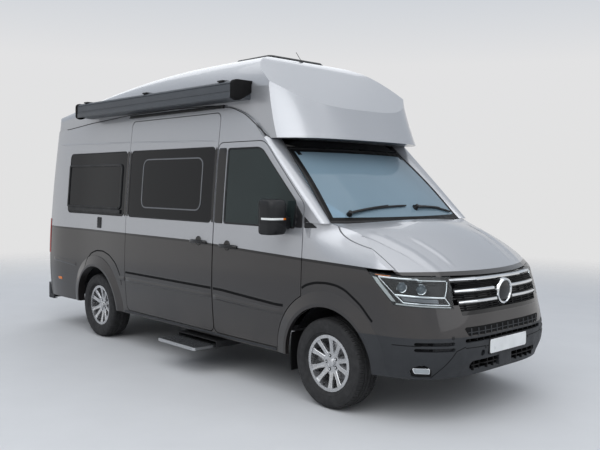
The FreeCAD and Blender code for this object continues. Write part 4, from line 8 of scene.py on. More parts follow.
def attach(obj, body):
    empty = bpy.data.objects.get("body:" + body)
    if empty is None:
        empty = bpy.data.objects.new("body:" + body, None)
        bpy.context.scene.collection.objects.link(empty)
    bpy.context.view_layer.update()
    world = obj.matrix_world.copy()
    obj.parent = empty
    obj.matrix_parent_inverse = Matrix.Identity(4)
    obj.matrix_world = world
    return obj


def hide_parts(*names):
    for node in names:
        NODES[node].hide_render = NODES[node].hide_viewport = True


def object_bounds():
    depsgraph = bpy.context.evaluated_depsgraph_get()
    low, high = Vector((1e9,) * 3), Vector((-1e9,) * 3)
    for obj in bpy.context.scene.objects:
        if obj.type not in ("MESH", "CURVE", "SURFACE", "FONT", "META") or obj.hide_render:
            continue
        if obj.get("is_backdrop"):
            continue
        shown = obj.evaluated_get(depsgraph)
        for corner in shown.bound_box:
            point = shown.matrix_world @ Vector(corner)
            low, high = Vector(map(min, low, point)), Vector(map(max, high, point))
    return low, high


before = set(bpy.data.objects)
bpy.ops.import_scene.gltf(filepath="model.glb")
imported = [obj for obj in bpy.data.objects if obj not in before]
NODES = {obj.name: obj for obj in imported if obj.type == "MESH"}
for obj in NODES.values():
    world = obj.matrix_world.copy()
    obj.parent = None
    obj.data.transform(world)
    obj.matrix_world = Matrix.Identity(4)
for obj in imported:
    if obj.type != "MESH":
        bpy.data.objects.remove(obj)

CAD_LOW, CAD_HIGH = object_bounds()
SCENE = bpy.context.scene

# Measures in metres
WHEEL_RADIUS = 0.3555
FRONT_AXLE, FRONT_TRACK = 1.997, 1.728
REAR_AXLE, REAR_TRACK = -1.643, 1.758
SIDES = (("right", -1), ("left", 1))
Z_AXIS = Vector((0, 0, 1))
# Where the search rays start, outside the van
WALL_Y, END_X, ROOF_Z = 1.6, 3.6, 3.6


# Materials
def linear(colour):
    """A display colour as the shader wants it"""
    shares = [c / 255 for c in colour]
    return (*(c / 12.92 if c <= 0.04045 else ((c + 0.055) / 1.055) ** 2.4 for c in shares), 1.0)


def tone(colour, share):
    return tuple(min(255, c * share) for c in colour)


class Nodes:
    """Short calls for the nodes of a tree"""

    def __init__(self, tree):
        self.t = tree

    def link(self, source, socket):
        self.t.links.new(source, socket)

    def node(self, kind, links=(), **values):
        n = self.t.nodes.new("ShaderNode" + kind)
        for key, value in values.items():
            if hasattr(n, key):
                setattr(n, key, value)
            else:
                n.inputs[key.replace("_", " ")].default_value = value
        for key, source in dict(links).items():
            self.link(source, n.inputs[key])
        return n

    def put(self, socket, value):
        """Link a source, or set a colour or a number"""
        if isinstance(value, (int, float, tuple)):
            socket.default_value = linear(value) if isinstance(value, tuple) else value
        else:
            self.link(value, socket)

    def math(self, kind, a, b=None):
        n = self.node("Math", operation=kind)
        self.put(n.inputs[0], a)
        if b is not None:
            self.put(n.inputs[1], b)
        return n.outputs[0]

    def shaders(self, share, a, b):
        return self.node("MixShader", {0: share, 1: a, 2: b}).outputs[0]


class Mat(Nodes):
    """A node material; m is its data, b its main shader"""

    def __init__(self, name, colour, rough=0.5, **values):
        self.m = bpy.data.materials.new(name)
        self.m.use_nodes = True
        super().__init__(self.m.node_tree)
        self.b = self.t.nodes["Principled BSDF"]
        self.b.inputs["Base Color"].default_value = linear(colour)
        for key, value in dict(values, Roughness=rough).items():
            self.b.inputs[key.replace("_", " ")].default_value = value
        self.coord = self.node("TexCoord").outputs["Object"]

    def noise(self, scale, detail=3.0, stretch=None):
        where = self.coord
        if stretch:
            where = self.node("Mapping", {"Vector": where}, Scale=stretch).outputs[0]
        return self.node("TexNoise", {"Vector": where}, Scale=scale, Detail=detail, Roughness=0.55).outputs["Fac"]

    def ramp(self, source, low, high, a=0.0, b=1.0, kind="SMOOTHSTEP"):
        return self.node("MapRange", {"Value": source}, interpolation_type=kind, From_Min=low, From_Max=high,
            To_Min=a, To_Max=b).outputs["Result"]

    def mix(self, share, a, b):
        n = self.node("Mix", {0: share}, data_type="RGBA")
        self.put(n.inputs[6], a)
        self.put(n.inputs[7], b)
        return n.outputs[2]

    def axes(self):
        return self.node("SeparateXYZ", {"Vector": self.coord}).outputs[:]

    def set(self, **sources):
        for key, source in sources.items():
            self.link(source, self.b.inputs[key.replace("_", " ")])

    def vary(self, colour, amount, scale):
        """Slight drift of a colour over the surface"""
        self.set(Base_Color=self.mix(self.noise(scale, 4.0), tone(colour, 1 - amount), tone(colour, 1 + amount)))

    def wear(self, scale, low, high, detail=4.0, stretch=None):
        """Slight drift of the roughness"""
        self.set(Roughness=self.ramp(self.noise(scale, detail, stretch), 0.3, 0.7, low, high))

    def bump(self, source, strength, distance=0.001):
        self.set(Normal=self.node("Bump", {"Height": source}, Strength=strength, Distance=distance).outputs[0])

    def surface(self, shader):
        self.link(shader, self.t.nodes["Material Output"].inputs["Surface"])


SILVER = (174, 176, 180)
GREY = (56, 54, 54)
LINE_BLACK = (16, 16, 18)
DUST = (104, 98, 90)
PARTING = 1.204
LINE_HALF = 0.011


def make_paint():
    """Metallic body paint in two tones with a thin black line between them"""
    m = Mat("paint_two_tone", SILVER, 0.32, Metallic=0.6, Coat_Weight=0.6, Coat_Roughness=0.03)
    x, y, z = m.axes()
    level = m.math("ADD", z, m.math("MULTIPLY", m.math("MAXIMUM", m.math("SUBTRACT", x, 0.2), 0.0), 0.035))
    flake = m.node("TexVoronoi", {"Vector": m.coord}, Scale=1400.0).outputs["Color"]
    glint = m.ramp(m.node("SeparateColor", {"Color": flake}).outputs[0], 0.0, 1.0, kind="LINEAR")
    dust = m.noise(1.3, 5.0)
    top = m.mix(glint, tone(SILVER, 0.93), tone(SILVER, 1.05))
    low = m.mix(glint, tone(GREY, 0.88), tone(GREY, 1.12))
    low = m.mix(m.math("MULTIPLY", m.ramp(z, 0.8, 0.35, 0.0, 0.22), m.ramp(dust, 0.35, 0.7)), low, DUST)
    both_tones = m.mix(m.ramp(level, PARTING - 0.0005, PARTING + 0.0005, kind="LINEAR"), low, top)
    wide = m.math("GREATER_THAN", m.math("ABSOLUTE", y), 0.93)
    band = m.math("LESS_THAN", m.math("ABSOLUTE", m.math("SUBTRACT", level, PARTING)), LINE_HALF)
    inside = m.math("MULTIPLY", m.math("MULTIPLY", wide, band), m.math("GREATER_THAN", x, -2.86))
    m.set(Base_Color=m.mix(inside, both_tones, LINE_BLACK))
    m.set(Roughness=m.ramp(m.math("ADD", m.math("MULTIPLY", glint, 0.4), m.math("MULTIPLY", dust, 0.6)), 0.2, 0.8,
        0.28, 0.4))
    m.bump(m.noise(160.0, 2.0), 0.012, 0.002)
    return m.m


def make_plastic(name, colour, rough=0.55, grain=900.0, depth=0.35):
    m = Mat(name, colour, rough)
    m.vary(colour, 0.1, 6.0)
    m.wear(14.0, rough - 0.08, rough + 0.08)
    m.bump(m.node("TexVoronoi", {"Vector": m.coord}, Scale=grain).outputs["Distance"], depth, 0.0006)
    return m.m


def make_gloss(name, colour, rough=0.12):
    m = Mat(name, colour, rough, Coat_Weight=0.4, Coat_Roughness=0.03)
    m.vary(colour, 0.12, 3.0)
    m.wear(30.0, rough * 0.7, rough * 1.5)
    return m.m


def make_metal(name, colour, rough=0.3, scale=220.0, stretch=None, metallic=1.0):
    m = Mat(name, colour, rough, Metallic=metallic)
    m.vary(colour, 0.06, 8.0)
    m.wear(scale, rough * 0.75, min(1.0, rough * 1.3), 4.0, stretch)
    m.bump(m.noise(scale, 2.0, stretch), 0.06, 0.0008)
    return m.m


def make_tyre():
    m = Mat("tyre_rubber", (34, 34, 35), 0.8)
    m.vary((36, 36, 37), 0.25, 9.0)
    m.wear(22.0, 0.68, 0.92, 5.0)
    m.bump(m.noise(420.0, 4.0), 0.25)
    return m.m


def make_alloy():
    m = Mat("alloy_lacquer", (196, 197, 199), 0.28, Metallic=0.85, Coat_Weight=0.7, Coat_Roughness=0.05)
    dust = m.ramp(m.noise(26.0, 6.0), 0.45, 0.75, 0.0, 0.35)
    m.set(Base_Color=m.mix(dust, (198, 199, 201), (150, 146, 140)))
    m.wear(60.0, 0.22, 0.36, 3.0)
    return m.m


def make_glass(name, tint, clear, rough=0.02):
    """Pane: tinted see-through glass with its own gloss"""
    m = Mat(name, tint, rough, IOR=1.5, Specular_IOR_Level=0.0)
    see = m.node("BsdfTransparent", {"Color": m.mix(m.ramp(m.noise(2.0, 2.0), 0.3, 0.7, 0.94, 1.0), tone(tint, 0.9),
        tint)})
    gloss = m.node("BsdfGlossy", Roughness=rough)
    veil = m.shaders(m.ramp(m.noise(1.1, 2.0), 0.2, 0.8, clear - 0.03, clear + 0.03), m.b.outputs[0],
        see.outputs[0])
    m.surface(m.shaders(m.node("Fresnel", IOR=1.34).outputs[0], veil, gloss.outputs[0]))
    return m.m


def make_cloth(name, colour, weave, depth):
    """Woven cloth: crossed threads, a soft mottle and some sheen"""
    m = Mat(name, colour, 0.9, Sheen_Weight=0.25, Sheen_Roughness=0.5)
    threads = [m.node("TexWave", {"Vector": m.coord}, Scale=weave, Distortion=0.6, Detail=1.0,
        bands_direction=way) for way in ("Y", "DIAGONAL")]
    cross = m.math("MULTIPLY", *(n.outputs["Fac"] for n in threads))
    mottle = m.noise(7.0, 5.0)
    both_ways = m.math("ADD", m.math("MULTIPLY", cross, 0.5), m.math("MULTIPLY", mottle, 0.5))
    m.set(Base_Color=m.mix(both_ways, tone(colour, 0.72), tone(colour, 1.25)),
        Roughness=m.ramp(mottle, 0.3, 0.7, 0.82, 0.96))
    m.bump(cross, depth)
    return m.m


PAINT = make_paint()
PLASTIC = make_plastic("charcoal_plastic", (46, 48, 51), 0.55)
BLACK = make_plastic("black_plastic", (24, 25, 27), 0.42, 1400.0, 0.2)
GLOSS = make_gloss("black_gloss", (10, 10, 12), 0.1)
CHROME = make_metal("chrome_trim", (226, 228, 230), 0.08, 60.0)
SATIN = make_metal("satin_aluminium", (186, 188, 190), 0.32, 260.0, (0.02, 1.0, 1.0))
STEEL = make_metal("dark_steel", (58, 58, 60), 0.5, 40.0, None, 0.7)
UNDER = make_plastic("underbody", (38, 38, 40), 0.85, 300.0, 0.8)
ANTHRACITE = make_metal("anthracite_shell", (80, 84, 89), 0.42, 500.0, (0.03, 1.0, 1.0), 0.6)
CABINET = make_plastic("cabinet_board", (150, 146, 138), 0.6, 400.0, 0.1)
DASH = make_plastic("dash_plastic", (44, 45, 48), 0.62, 700.0, 0.5)
GUM = make_plastic("rubber_seal", (20, 20, 22), 0.7, 500.0, 0.2)
WHITE = make_plastic("blank_plate", (228, 230, 230), 0.35, 300.0, 0.05)
TYRE = make_tyre()
ALLOY = make_alloy()
DARK_GLASS = make_glass("privacy_glass", (20, 22, 25), 0.25)
DOOR_GLASS = make_glass("door_glass", (84, 98, 98), 0.72)
SCREEN = make_glass("windscreen_glass", (172, 202, 220), 0.56)
CLEAR_LENS = make_glass("clear_lens", (240, 244, 245), 0.97, 0.03)
RED_LENS = make_gloss("red_lens", (150, 14, 16), 0.08)
AMBER = make_gloss("amber_lens", (226, 120, 24), 0.1)
PALE_LENS = make_gloss("pale_lens", (225, 228, 226), 0.12)
DISC = make_metal("disc_steel", (150, 150, 152), 0.34, 90.0, (1.0, 4.0, 1.0))
MIRROR = make_metal("bright_reflector", (232, 234, 236), 0.05, 30.0)
TRIM_GREY = make_metal("grey_trim", (120, 122, 126), 0.35, 200.0)
BOWL = make_plastic("lamp_bowl_black", (13, 13, 14), 0.5, 800.0, 0.1)
# Black of seams and small dark parts; the same material draws the strips of painted shade under the lower crease
# and along the wheel flares
SHADOW = make_plastic("seam_black_and_painted_shade", (16, 16, 17), 0.7, 500.0, 0.1)
FOG_LENS = make_gloss("fog_lens", (150, 156, 160), 0.08)
EYE_GLASS = make_gloss("projector_glass", (92, 104, 112), 0.03)
CLOTH = make_cloth("seat_cloth_weave", (58, 60, 64), 260.0, 0.5)
TICKING = make_cloth("mattress_ticking", (176, 172, 164), 180.0, 0.4)
WORKTOP = make_plastic("worktop_stone", (92, 90, 88), 0.4, 160.0, 0.06)
for dark, shine in ((SHADOW, 0.12), (BOWL, 0.15), (GLOSS, 0.25), (BLACK, 0.3), (PLASTIC, 0.35)):
    dark.node_tree.nodes["Principled BSDF"].inputs["Specular IOR Level"].default_value = shine

# The slot of a piece follows from its material, where the piece doesn't name another
SLOTS = {m.name: slot for slot, materials in {"alloy": (ALLOY,), "aluminium": (SATIN,), "anthracite": (ANTHRACITE,),
    "black_gloss": (GLOSS, BOWL), "cabinet": (CABINET, WORKTOP), "chrome": (CHROME, MIRROR, TRIM_GREY),
    "dark_glass": (DARK_GLASS,), "dark_plastic": (BLACK, PLASTIC, SHADOW), "dash_plastic": (DASH,),
    "mattress": (TICKING,), "lamp_lens": (AMBER, EYE_GLASS, FOG_LENS, PALE_LENS, WHITE), "paint_grey": (PAINT,),
    "red_lens": (RED_LENS,), "seat_cloth": (CLOTH,), "steel_dark": (DISC, STEEL),
    "tyre": (TYRE,)}.items() for m in materials}


def dress(material, *names):
    for name in names:
        mesh = NODES[name].data
        mesh.materials.clear()
        mesh.materials.append(material)


def both(*names):
    return [name + side for name in names for side in ("_right", "_left")]


dress(PAINT, "bonnet", "bumper_upper", "front_wings", "fuel_flap", "rear_frame", "roof_cap", "service_flap",
    "sliding_door", *both("body_side", "front_door", "rear_door"))
dress(PLASTIC, "bumper_lower", "rear_bumper")
dress(BLACK, "cowl", "wheelhouses", *both("mirror"))
dress(GLOSS, "header_band", "grille")
dress(DARK_GLASS, "side_glass", "sliding_glass", "roof_hatch", *both("rear_glass"))
dress(DOOR_GLASS, *both("door_glass"))
dress(SCREEN, "windscreen")
dress(CLEAR_LENS, "headlamps")
dress(RED_LENS, "tail_lamps")
dress(TYRE, *both("tyre_front", "tyre_rear"))
dress(ALLOY, *both("rim_front", "rim_rear"))
dress(STEEL, "engine_block", "exhaust", "front_subframe", "rear_axle", *both("knuckle"))
dress(UNDER, "floor_pan", "fuel_tank", "step_housing")
dress(ANTHRACITE, "awning")
dress(SATIN, "step_tread")
dress(DASH, "dashboard", "steering_wheel", "seats")
dress(CABINET, "kitchen_unit", "bathroom_unit", "rear_bed")

# Places on the fixed nodes
TREES = {}


def tree(names):
    """Search tree over named nodes, kept for later calls"""
    if names not in TREES:
        verts, faces = [], []
        for name in names:
            mesh, base = NODES[name].data, len(verts)
            verts.extend(v.co.copy() for v in mesh.vertices)
            faces.extend([base + i for i in p.vertices] for p in mesh.polygons)
        TREES[names] = BVHTree.FromPolygons(verts, faces)
    return TREES[names]


def drop(names, start, way):
    """First place on the named nodes along a ray, with the normal that faces its start"""
    way = Vector(way).normalized()
    hit, normal = tree(names).ray_cast(Vector(start), way)[:2]
    return None if hit is None else (hit, -normal if normal.dot(way) > 0 else normal)


def on_side(sign, *names):
    return lambda x, z: drop(names, (x, sign * WALL_Y, z), (0, -sign, 0))


def on_front(*names):
    return lambda y, z: drop(names, (END_X, y, z), (-1, 0, 0))


def on_rear(*names):
    return lambda y, z: drop(names, (-END_X, y, z), (1, 0, 0))


def on_top(*names):
    return lambda x, y: drop(names, (x, y, ROOF_Z), (0, 0, -1))


def sunk(place, depth):
    """The same surface set back by a depth"""
    def inner(a, b):
        found = place(a, b)
        return None if found is None else (found[0] - found[1] * depth, found[1])
    return inner


def laid(points, place, lift=0.0):
    """Line of places and normals, lifted off what carries it; a missed start is looked for close by"""
    out, near = [], [s * 0.002 for s in (-2, -1, 0, 1, 2)]
    for a, b in points:
        found = place(a, b)
        if found is None and not out:
            found = next((f for f in (place(a + s, b + t) for s in near for t in near) if f), None)
        if found is not None:
            out.append((found[0] + found[1] * lift, found[1]))
    return out


def bowed(place, a, b, count, lift):
    """Places along a straight line, each lifted by what its share of the way gives"""
    out = []
    for k in range(count + 1):
        t = k / count
        found = place(a[0] + (b[0] - a[0]) * t, a[1] + (b[1] - a[1]) * t)
        if found:
            out.append((found[0] + found[1] * lift(t), found[1]))
    return out


# Lines, outlines and sections
def strides(points, step, closed, least):
    """Where even steps along a line fall: the number of the run and the share of it"""
    runs = [(b - a).length for a, b in zip(points, points[1:])]
    total, at, i = sum(runs), 0.0, 0
    count = max(least, round(total / step))
    for k in range(count + (not closed)):
        want = total * k / count
        while i < len(runs) - 1 and at + runs[i] < want:
            at += runs[i]
            i += 1
        yield i, min(1.0, (want - at) / runs[i]) if runs[i] else 0.0


def even(points, step, closed=False):
    """Points at even steps along a line in two or three dimensions"""
    points = [Vector(p) for p in points]
    if closed:
        points.append(points[0])
    return [points[i].lerp(points[i + 1], share) for i, share in strides(points, step, closed, 2)]


def rounded(corners, radius=0.02, steps=6):
    """Closed outline with its corners rounded off; a corner may name its own radius"""
    out = []
    for i, corner in enumerate(corners):
        c = Vector(corner[:2])
        a = Vector(corners[i - 1][:2]) - c
        b = Vector(corners[(i + 1) % len(corners)][:2]) - c
        reach = min(corner[2] if len(corner) > 2 else radius, a.length * 0.49, b.length * 0.49)
        p, q = c + a.normalized() * reach, c + b.normalized() * reach
        for k in range(steps + 1):
            t = k / steps
            out.append((1 - t) ** 2 * p + 2 * t * (1 - t) * c + t * t * q)
    return out


def rect(a0, a1, b0, b1, radius=0.02, steps=6):
    return rounded([(a0, b0), (a1, b0), (a1, b1), (a0, b1)], radius, steps)


def mirrored(points, sign):
    return [(sign * p[0], p[1]) for p in points]


def curve(points, step, passes=3):
    """Line through points with its bends smoothed"""
    line = even(points, step)
    for _ in range(passes):
        line = [line[0]] + [a * 0.25 + b * 0.5 + c * 0.25 for a, b, c in zip(line, line[1:], line[2:])] + [line[-1]]
    return line


def mm(*values):
    """Pairs in metres from a row of millimetres"""
    return [(a / 1000, b / 1000) for a, b in zip(values[::2], values[1::2])]


def turns(count, start=0.0):
    return [2 * pi * (k + start) / count for k in range(count)]


def ease(t, rate, least=0.0):
    """Share that rises at the start of a line and falls at its end"""
    return min(1.0, least + t * rate, least + (1 - t) * rate)


def strip(width, height, sink=0.003):
    """Section of a raised band with softened edges"""
    w, e = width / 2, min(width, height + sink) * 0.3
    return [(-w, -sink), (-w, height - e), (-w + e * 0.35, height - e * 0.3), (-w + e, height), (w - e, height),
        (w - e * 0.35, height - e * 0.3), (w, height - e), (w, -sink)]


def hump(width, height, sink=0.003, steps=8):
    """Section of a rounded ridge"""
    w = width / 2
    top = [(-w * cos(pi * k / steps), height * sin(pi * k / steps) ** 1.3) for k in range(steps + 1)]
    return [(-w, -sink)] + top + [(w, -sink)]


def swell(width, height, steps=20):
    """Section of a soft swelling that runs out flat at both edges"""
    w = width / 2
    top = [(-w + width * k / steps, 0.0004 + height * sin(pi * k / steps) ** 2) for k in range(steps + 1)]
    return [(-w, -0.001)] + top + [(w, -0.001)]


def ring(across, steps=10, high=None):
    high = across if high is None else high
    return [(across * cos(a), high * sin(a)) for a in turns(steps)]


def joined(name, mesh, material, body, slot):
    """Smooth object of a finished mesh that rides its body"""
    mesh.materials.append(material)
    mesh.polygons.foreach_set("use_smooth", [True] * len(mesh.polygons))
    o = bpy.data.objects.new(name, mesh)
    SCENE.collection.objects.link(o)
    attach(o, body)
    return o


FORMS = []


class Form:
    """One piece put together from closed forms; done() makes it at the end, when it has any"""

    def __init__(self, name, material, body="body", slot=None, sharp=32, replaces=()):
        self.name, self.material, self.body = name, material, body
        self.slot = SLOTS.get(material.name) if slot is None else slot
        self.sharp, self.replaces = sharp, replaces
        self.v, self.f = [], []
        FORMS.append(self)

    def loft(self, rings, closed=False, open_ring=False):
        base, size, last = len(self.v), len(rings[0]), len(rings) - 1
        for r in rings:
            self.v.extend(r)
        for i in range(last + closed):
            j = (i + 1) % len(rings)
            for k in range(size - open_ring):
                m = (k + 1) % size
                self.f.append((base + i * size + k, base + i * size + m, base + j * size + m, base + j * size + k))
        if not closed:
            self.f.append(tuple(base + k for k in range(size)))
            self.f.append(tuple(base + last * size + k for k in range(size - 1, -1, -1)))
        return self

    def sweep(self, frames, section, closed=False, taper=None):
        """Section carried along places and normals"""
        rings, count = [], len(frames)
        if count < 2:
            return self
        for i, (point, normal) in enumerate(frames):
            before = frames[i - 1][0] if closed or i else point
            after = frames[(i + 1) % count][0] if closed or i < count - 1 else point
            along = (after - before).normalized()
            across = normal.cross(along).normalized()
            up = along.cross(across)
            s, t = taper(i / (count - 1)) if taper else (1.0, 1.0)
            rings.append([point + across * a * s + up * (b * t if b > 0 else b) for a, b in section])
        return self.loft(rings, closed)

    def line(self, points, step, place, section, lift=0.0, closed=False, taper=None):
        """Section carried at even steps along a line that is laid on a surface"""
        return self.sweep(laid(even(points, step, closed), place, lift), section, closed, taper)

    def lathe(self, centre, axis, profile, steps=28, whole=False):
        """Profile of radius and height turned about an axis; a whole profile closes on itself"""
        axis = Vector(axis).normalized()
        side = axis.orthogonal().normalized()
        other = axis.cross(side)
        rings = []
        for a in turns(steps):
            way = side * cos(a) + other * sin(a)
            rings.append([Vector(centre) + way * r + axis * h for r, h in profile])
        return self.loft(rings, True, not whole)

    def stud(self, found, profile, steps=28, lift=0.0):
        """Turned form on a place, when there is one"""
        return self.lathe(found[0] + found[1] * lift, found[1], profile, steps) if found else self

    def block(self, low, high, bevel=0.004, turn=None, segments=2):
        """Box with rounded edges, turned about its middle"""
        low, high = Vector(low), Vector(high)
        bm = bmesh.new()
        bmesh.ops.create_cube(bm, size=1.0)
        for v in bm.verts:
            v.co = Vector(v.co[i] * (high[i] - low[i]) for i in range(3))
        bmesh.ops.bevel(bm, geom=bm.edges[:], offset=bevel, segments=segments, profile=0.6, affect="EDGES")
        bm.verts.ensure_lookup_table()
        base, middle = len(self.v), (low + high) / 2
        self.v.extend((turn @ v.co if turn else v.co.copy()) + middle for v in bm.verts)
        self.f.extend(tuple(base + v.index for v in f.verts) for f in bm.faces)
        bm.free()
        return self

    def pad(self, outline, step, place, high, low=-0.002, edge=0.002, scales=(0.85, 0.6, 0.3)):
        """Raised patch with walls, laid over what carries it; without a step the outline stays as it is"""
        outline = [Vector(p) for p in outline] if step is None else even(outline, step, True)
        middle = sum(outline, Vector((0, 0))) / len(outline)
        spare = place(*middle) or next((f for f in (place(*p) for p in outline) if f), None)
        if spare is None:
            return self
        cut = 1 - edge / max(min((p - middle).length for p in outline), 0.001)
        rings = []
        for scale, lift in [(1.0, low), (1.0, high - edge), ((1 + 2 * cut) / 3, high - edge * 0.25),
                (cut, high)] + [(cut * s, high) for s in scales]:
            row = []
            for p in outline:
                found = place(*(middle + (p - middle) * scale)) or (row[-1] if row else spare)
                row.append(found)
            rings.append([spot + normal * lift for spot, normal in row])
        return self.loft(rings)

    def done(self):
        if not self.v:
            return
        mesh = bpy.data.meshes.new(self.name)
        mesh.from_pydata([tuple(v) for v in self.v], [], self.f)
        bm = bmesh.new()
        bm.from_mesh(mesh)
        bmesh.ops.remove_doubles(bm, verts=bm.verts[:], dist=0.00002)
        bmesh.ops.dissolve_degenerate(bm, edges=bm.edges[:], dist=0.00001)
        bmesh.ops.recalc_face_normals(bm, faces=bm.faces[:])
        bm.to_mesh(mesh)
        bm.free()
        o = joined(self.name, mesh, self.material, self.body, self.slot)
        mesh.set_sharp_from_angle(angle=radians(self.sharp))
        if self.replaces:
            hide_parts(*self.replaces)


def rims(name, way, least=0.6):
    """Edge loops of a node's faces that look one way, as lines of places and normals, the longest first"""
    mesh, way = NODES[name].data, Vector(way)
    keys, places, ident = {}, {}, []
    for v in mesh.vertices:
        i = keys.setdefault(tuple(round(c, 5) for c in v.co), len(keys))
        places.setdefault(i, v.co.copy())
        ident.append(i)
    edges = {}
    for p in mesh.polygons:
        if p.normal.dot(way) < least:
            continue
        loop = [ident[i] for i in p.vertices]
        for a, b in zip(loop, loop[1:] + loop[:1]):
            if (b, a) in edges:
                del edges[(b, a)]
            else:
                edges[(a, b)] = p.normal.copy()
    follow, loops = {}, []
    for (a, b), normal in edges.items():
        follow.setdefault(a, []).append((b, normal))
    while follow:
        at, line = next(iter(follow)), []
        while at in follow:
            b, normal = follow[at].pop()
            if not follow[at]:
                del follow[at]
            line.append((places[at], normal))
            at = b
        if len(line) > 3:
            loops.append(line)
    return sorted(loops, key=lambda l: -length(l))


def length(line):
    return sum((b[0] - a[0]).length for a, b in zip(line, line[1:]))


def middle_of(line):
    return sum((p for p, _ in line), Vector()) / len(line)


def framed(line, step, inset):
    """A rim's places at even steps with smooth normals, moved inwards along the surface"""
    line = line + line[:1]
    frames = []
    for i, share in strides([p for p, _ in line], step, True, 8):
        (p, n), (q, m) = line[i], line[i + 1]
        frames.append((p.lerp(q, share), n.lerp(m, share).normalized()))
    middle, out = middle_of(frames), []
    for k, (p, n) in enumerate(frames):
        inward = n.cross((frames[(k + 1) % len(frames)][0] - frames[k - 1][0]).normalized())
        out.append((p + inward * (inset if inward.dot(middle - p) >= 0 else -inset), n))
    return out


# Wheels. Half section of a tyre in millimetres: depth below the tread, place across, kind of cut
TREAD = ((0, 0, 0), (0, 13.5, 0), (7.5, 15, 0), (7.5, 22.5, 0), (0.2, 24, 1), (0.6, 50, 1), (8, 51.5, 0),
    (8, 60, 0), (1, 61.5, 2), (3.2, 82, 2), (5.8, 92.5, 2), (10, 100, 2), (16.5, 106.2, 2), (17.5, 105, 0),
    (26, 110, 0), (40, 114.8, 0), (41, 115.8, 0), (44, 116, 0), (45, 115.2, 0), (65.5, 117.2, 0), (80.5, 116.7, 0),
    (95.5, 113, 0), (103.5, 110.5, 0), (104.5, 111.8, 0), (107.5, 111.5, 0), (109, 107.5, 0), (117.5, 98, 0),
    (124.5, 90, 0), (131.5, 83.5, 0), (148.5, 75, 0))
PITCHES = 62
CUTS = ((0.0, 0), (0.05, 1), (0.17, 1), (0.22, 0), (0.5, 0), (0.53, 0.6), (0.58, 0.6), (0.61, 0))
CUT_DEPTH, CUT_LEAN = (0.0, 0.0045, 0.0065), (0.0, 9.0, 2.5)


def about(angle):
    return Vector((cos(angle), 0, sin(angle)))


def tyre(where, sign, name, body):
    """Tyre with grooves round it and cuts across its blocks"""
    half = [(WHEEL_RADIUS - low / 1000, across / 1000, kind) for low, across, kind in TREAD]
    rings = []
    for k in range(PITCHES):
        for share, cut in CUTS:
            line = []
            for r, d, kind in [(r, -d, kind) for r, d, kind in reversed(half[1:])] + half:
                r -= CUT_DEPTH[kind] * cut * (0.7 if abs(d) > 0.1 else 1.0)
                lean = (abs(d) - 0.05) * CUT_LEAN[kind] * (1 if d > 0 else -1)
                a = 2 * pi * (k + share + (0.5 if d > 0 else 0.0) + lean * 0.6) / PITCHES
                line.append(Vector((where.x + r * cos(a), where.y + sign * d, where.z + r * sin(a))))
            rings.append(line)
    Form("tread_" + name, TYRE, body, sharp=40, replaces=("tyre_" + name,)).loft(rings, True)


def wheel(name, where, sign, body, hub_body):
    """Tyre, cap, spoke faces, bolts in their wells, brake and valve"""
    out = Vector((0, sign, 0))
    tyre(where, sign, name, body)
    Form("hub_cap_" + name, ALLOY, body, sharp=30).lathe(where + out * 0.0635, out,
        mm(0, 4.5, 16, 4.3, 24.5, 3.6, 25.5, 2.6, 26.5, 3.6, 30.5, 3, 34.5, 0.6, 35, -4, 0, -4), 56)
    blades = Form("spoke_faces_" + name, ALLOY, body, sharp=25)
    for k in range(10):
        a = radians(72 * (k // 2) + (15.5 if k % 2 else -15.5))
        along, rings = about(a + pi / 2), []
        for t in (j / 8 for j in range(9)):
            r, wide = 0.079 + 0.122 * t, 0.0145 + 0.0095 * t * t
            base = where + about(a) * r + out * (0.0515 + 0.0235 * (r - 0.075) / 0.1275)
            half = ((wide, -0.004), (wide, 0.0008), (wide - 0.0028, 0.0034), (wide * 0.3, 0.0022))
            section = [(-p, q) for p, q in half] + [(0.0, 0.0016)] + list(half[::-1])
            rings.append([base + along * p + out * q for p, q in section])
        blades.loft(rings)
    nuts = Form("wheel_bolts_" + name, CHROME, body, sharp=25)
    wells = Form("bolt_wells_" + name, BLACK, body, sharp=30)
    for a in turns(5, 0.5):
        spot = where + about(a) * 0.056 + out * 0.05
        wells.lathe(spot, out, mm(0, 1.8, 10.5, 1.8, 11.8, 3, 13.4, 3.2, 14, 2, 14, -3, 0, -3))
        nuts.lathe(spot, out, mm(0, 8.5, 6, 8.5, 8.6, 6.8, 8.6, 1.2, 0, 1.2), 6)
    Form("brake_disc_" + name, DISC, body, sharp=30).lathe(where + out * -0.0125, out,
        mm(98, -2, 150, -2, 152.5, -3.5, 152.5, -10, 148, -11, 148, -19, 152.5, -20, 152.5, -26.5, 150, -28, 80,
        -28, 80, -6, 68, -4, 68, 1, 84, 1, 90, -1), 72, True)
    way = about(radians(250))
    Form("valve_" + name, BLACK, body, sharp=30).lathe(where + way * 0.196 + out * 0.06, out - way * 0.6,
        mm(0, 30, 3.2, 29, 3.6, 16, 4.8, 14, 5.2, 0, 0, 0), 14)
    rings = []
    for k in range(-6, 7):
        way, wide = about(radians((150 if where.x > 0 else 30) + k * 5.2)), 0.006 * cos(k / 6 * 1.3)
        rings.append([where + way * r + out * d for r, d in ((0.118, -0.0565 - wide), (0.158, -0.058 - wide),
            (0.166, -0.052), (0.166, -0.002 + wide * 0.5), (0.16, 0.004 + wide * 0.5), (0.118, 0.003),
            (0.118, -0.0095), (0.1555, -0.0095), (0.1555, -0.0455), (0.118, -0.0455))])
    Form("brake_caliper_" + name, STEEL, hub_body, sharp=30).loft(rings)


for side, sign in SIDES:
    wheel("front_" + side, Vector((FRONT_AXLE, sign * FRONT_TRACK / 2, WHEEL_RADIUS)), sign, "wheel_front_" + side,
        "knuckle_" + side)
    wheel("rear_" + side, Vector((REAR_AXLE, sign * REAR_TRACK / 2, WHEEL_RADIUS)), sign, "wheel_rear_" + side,
        "body")


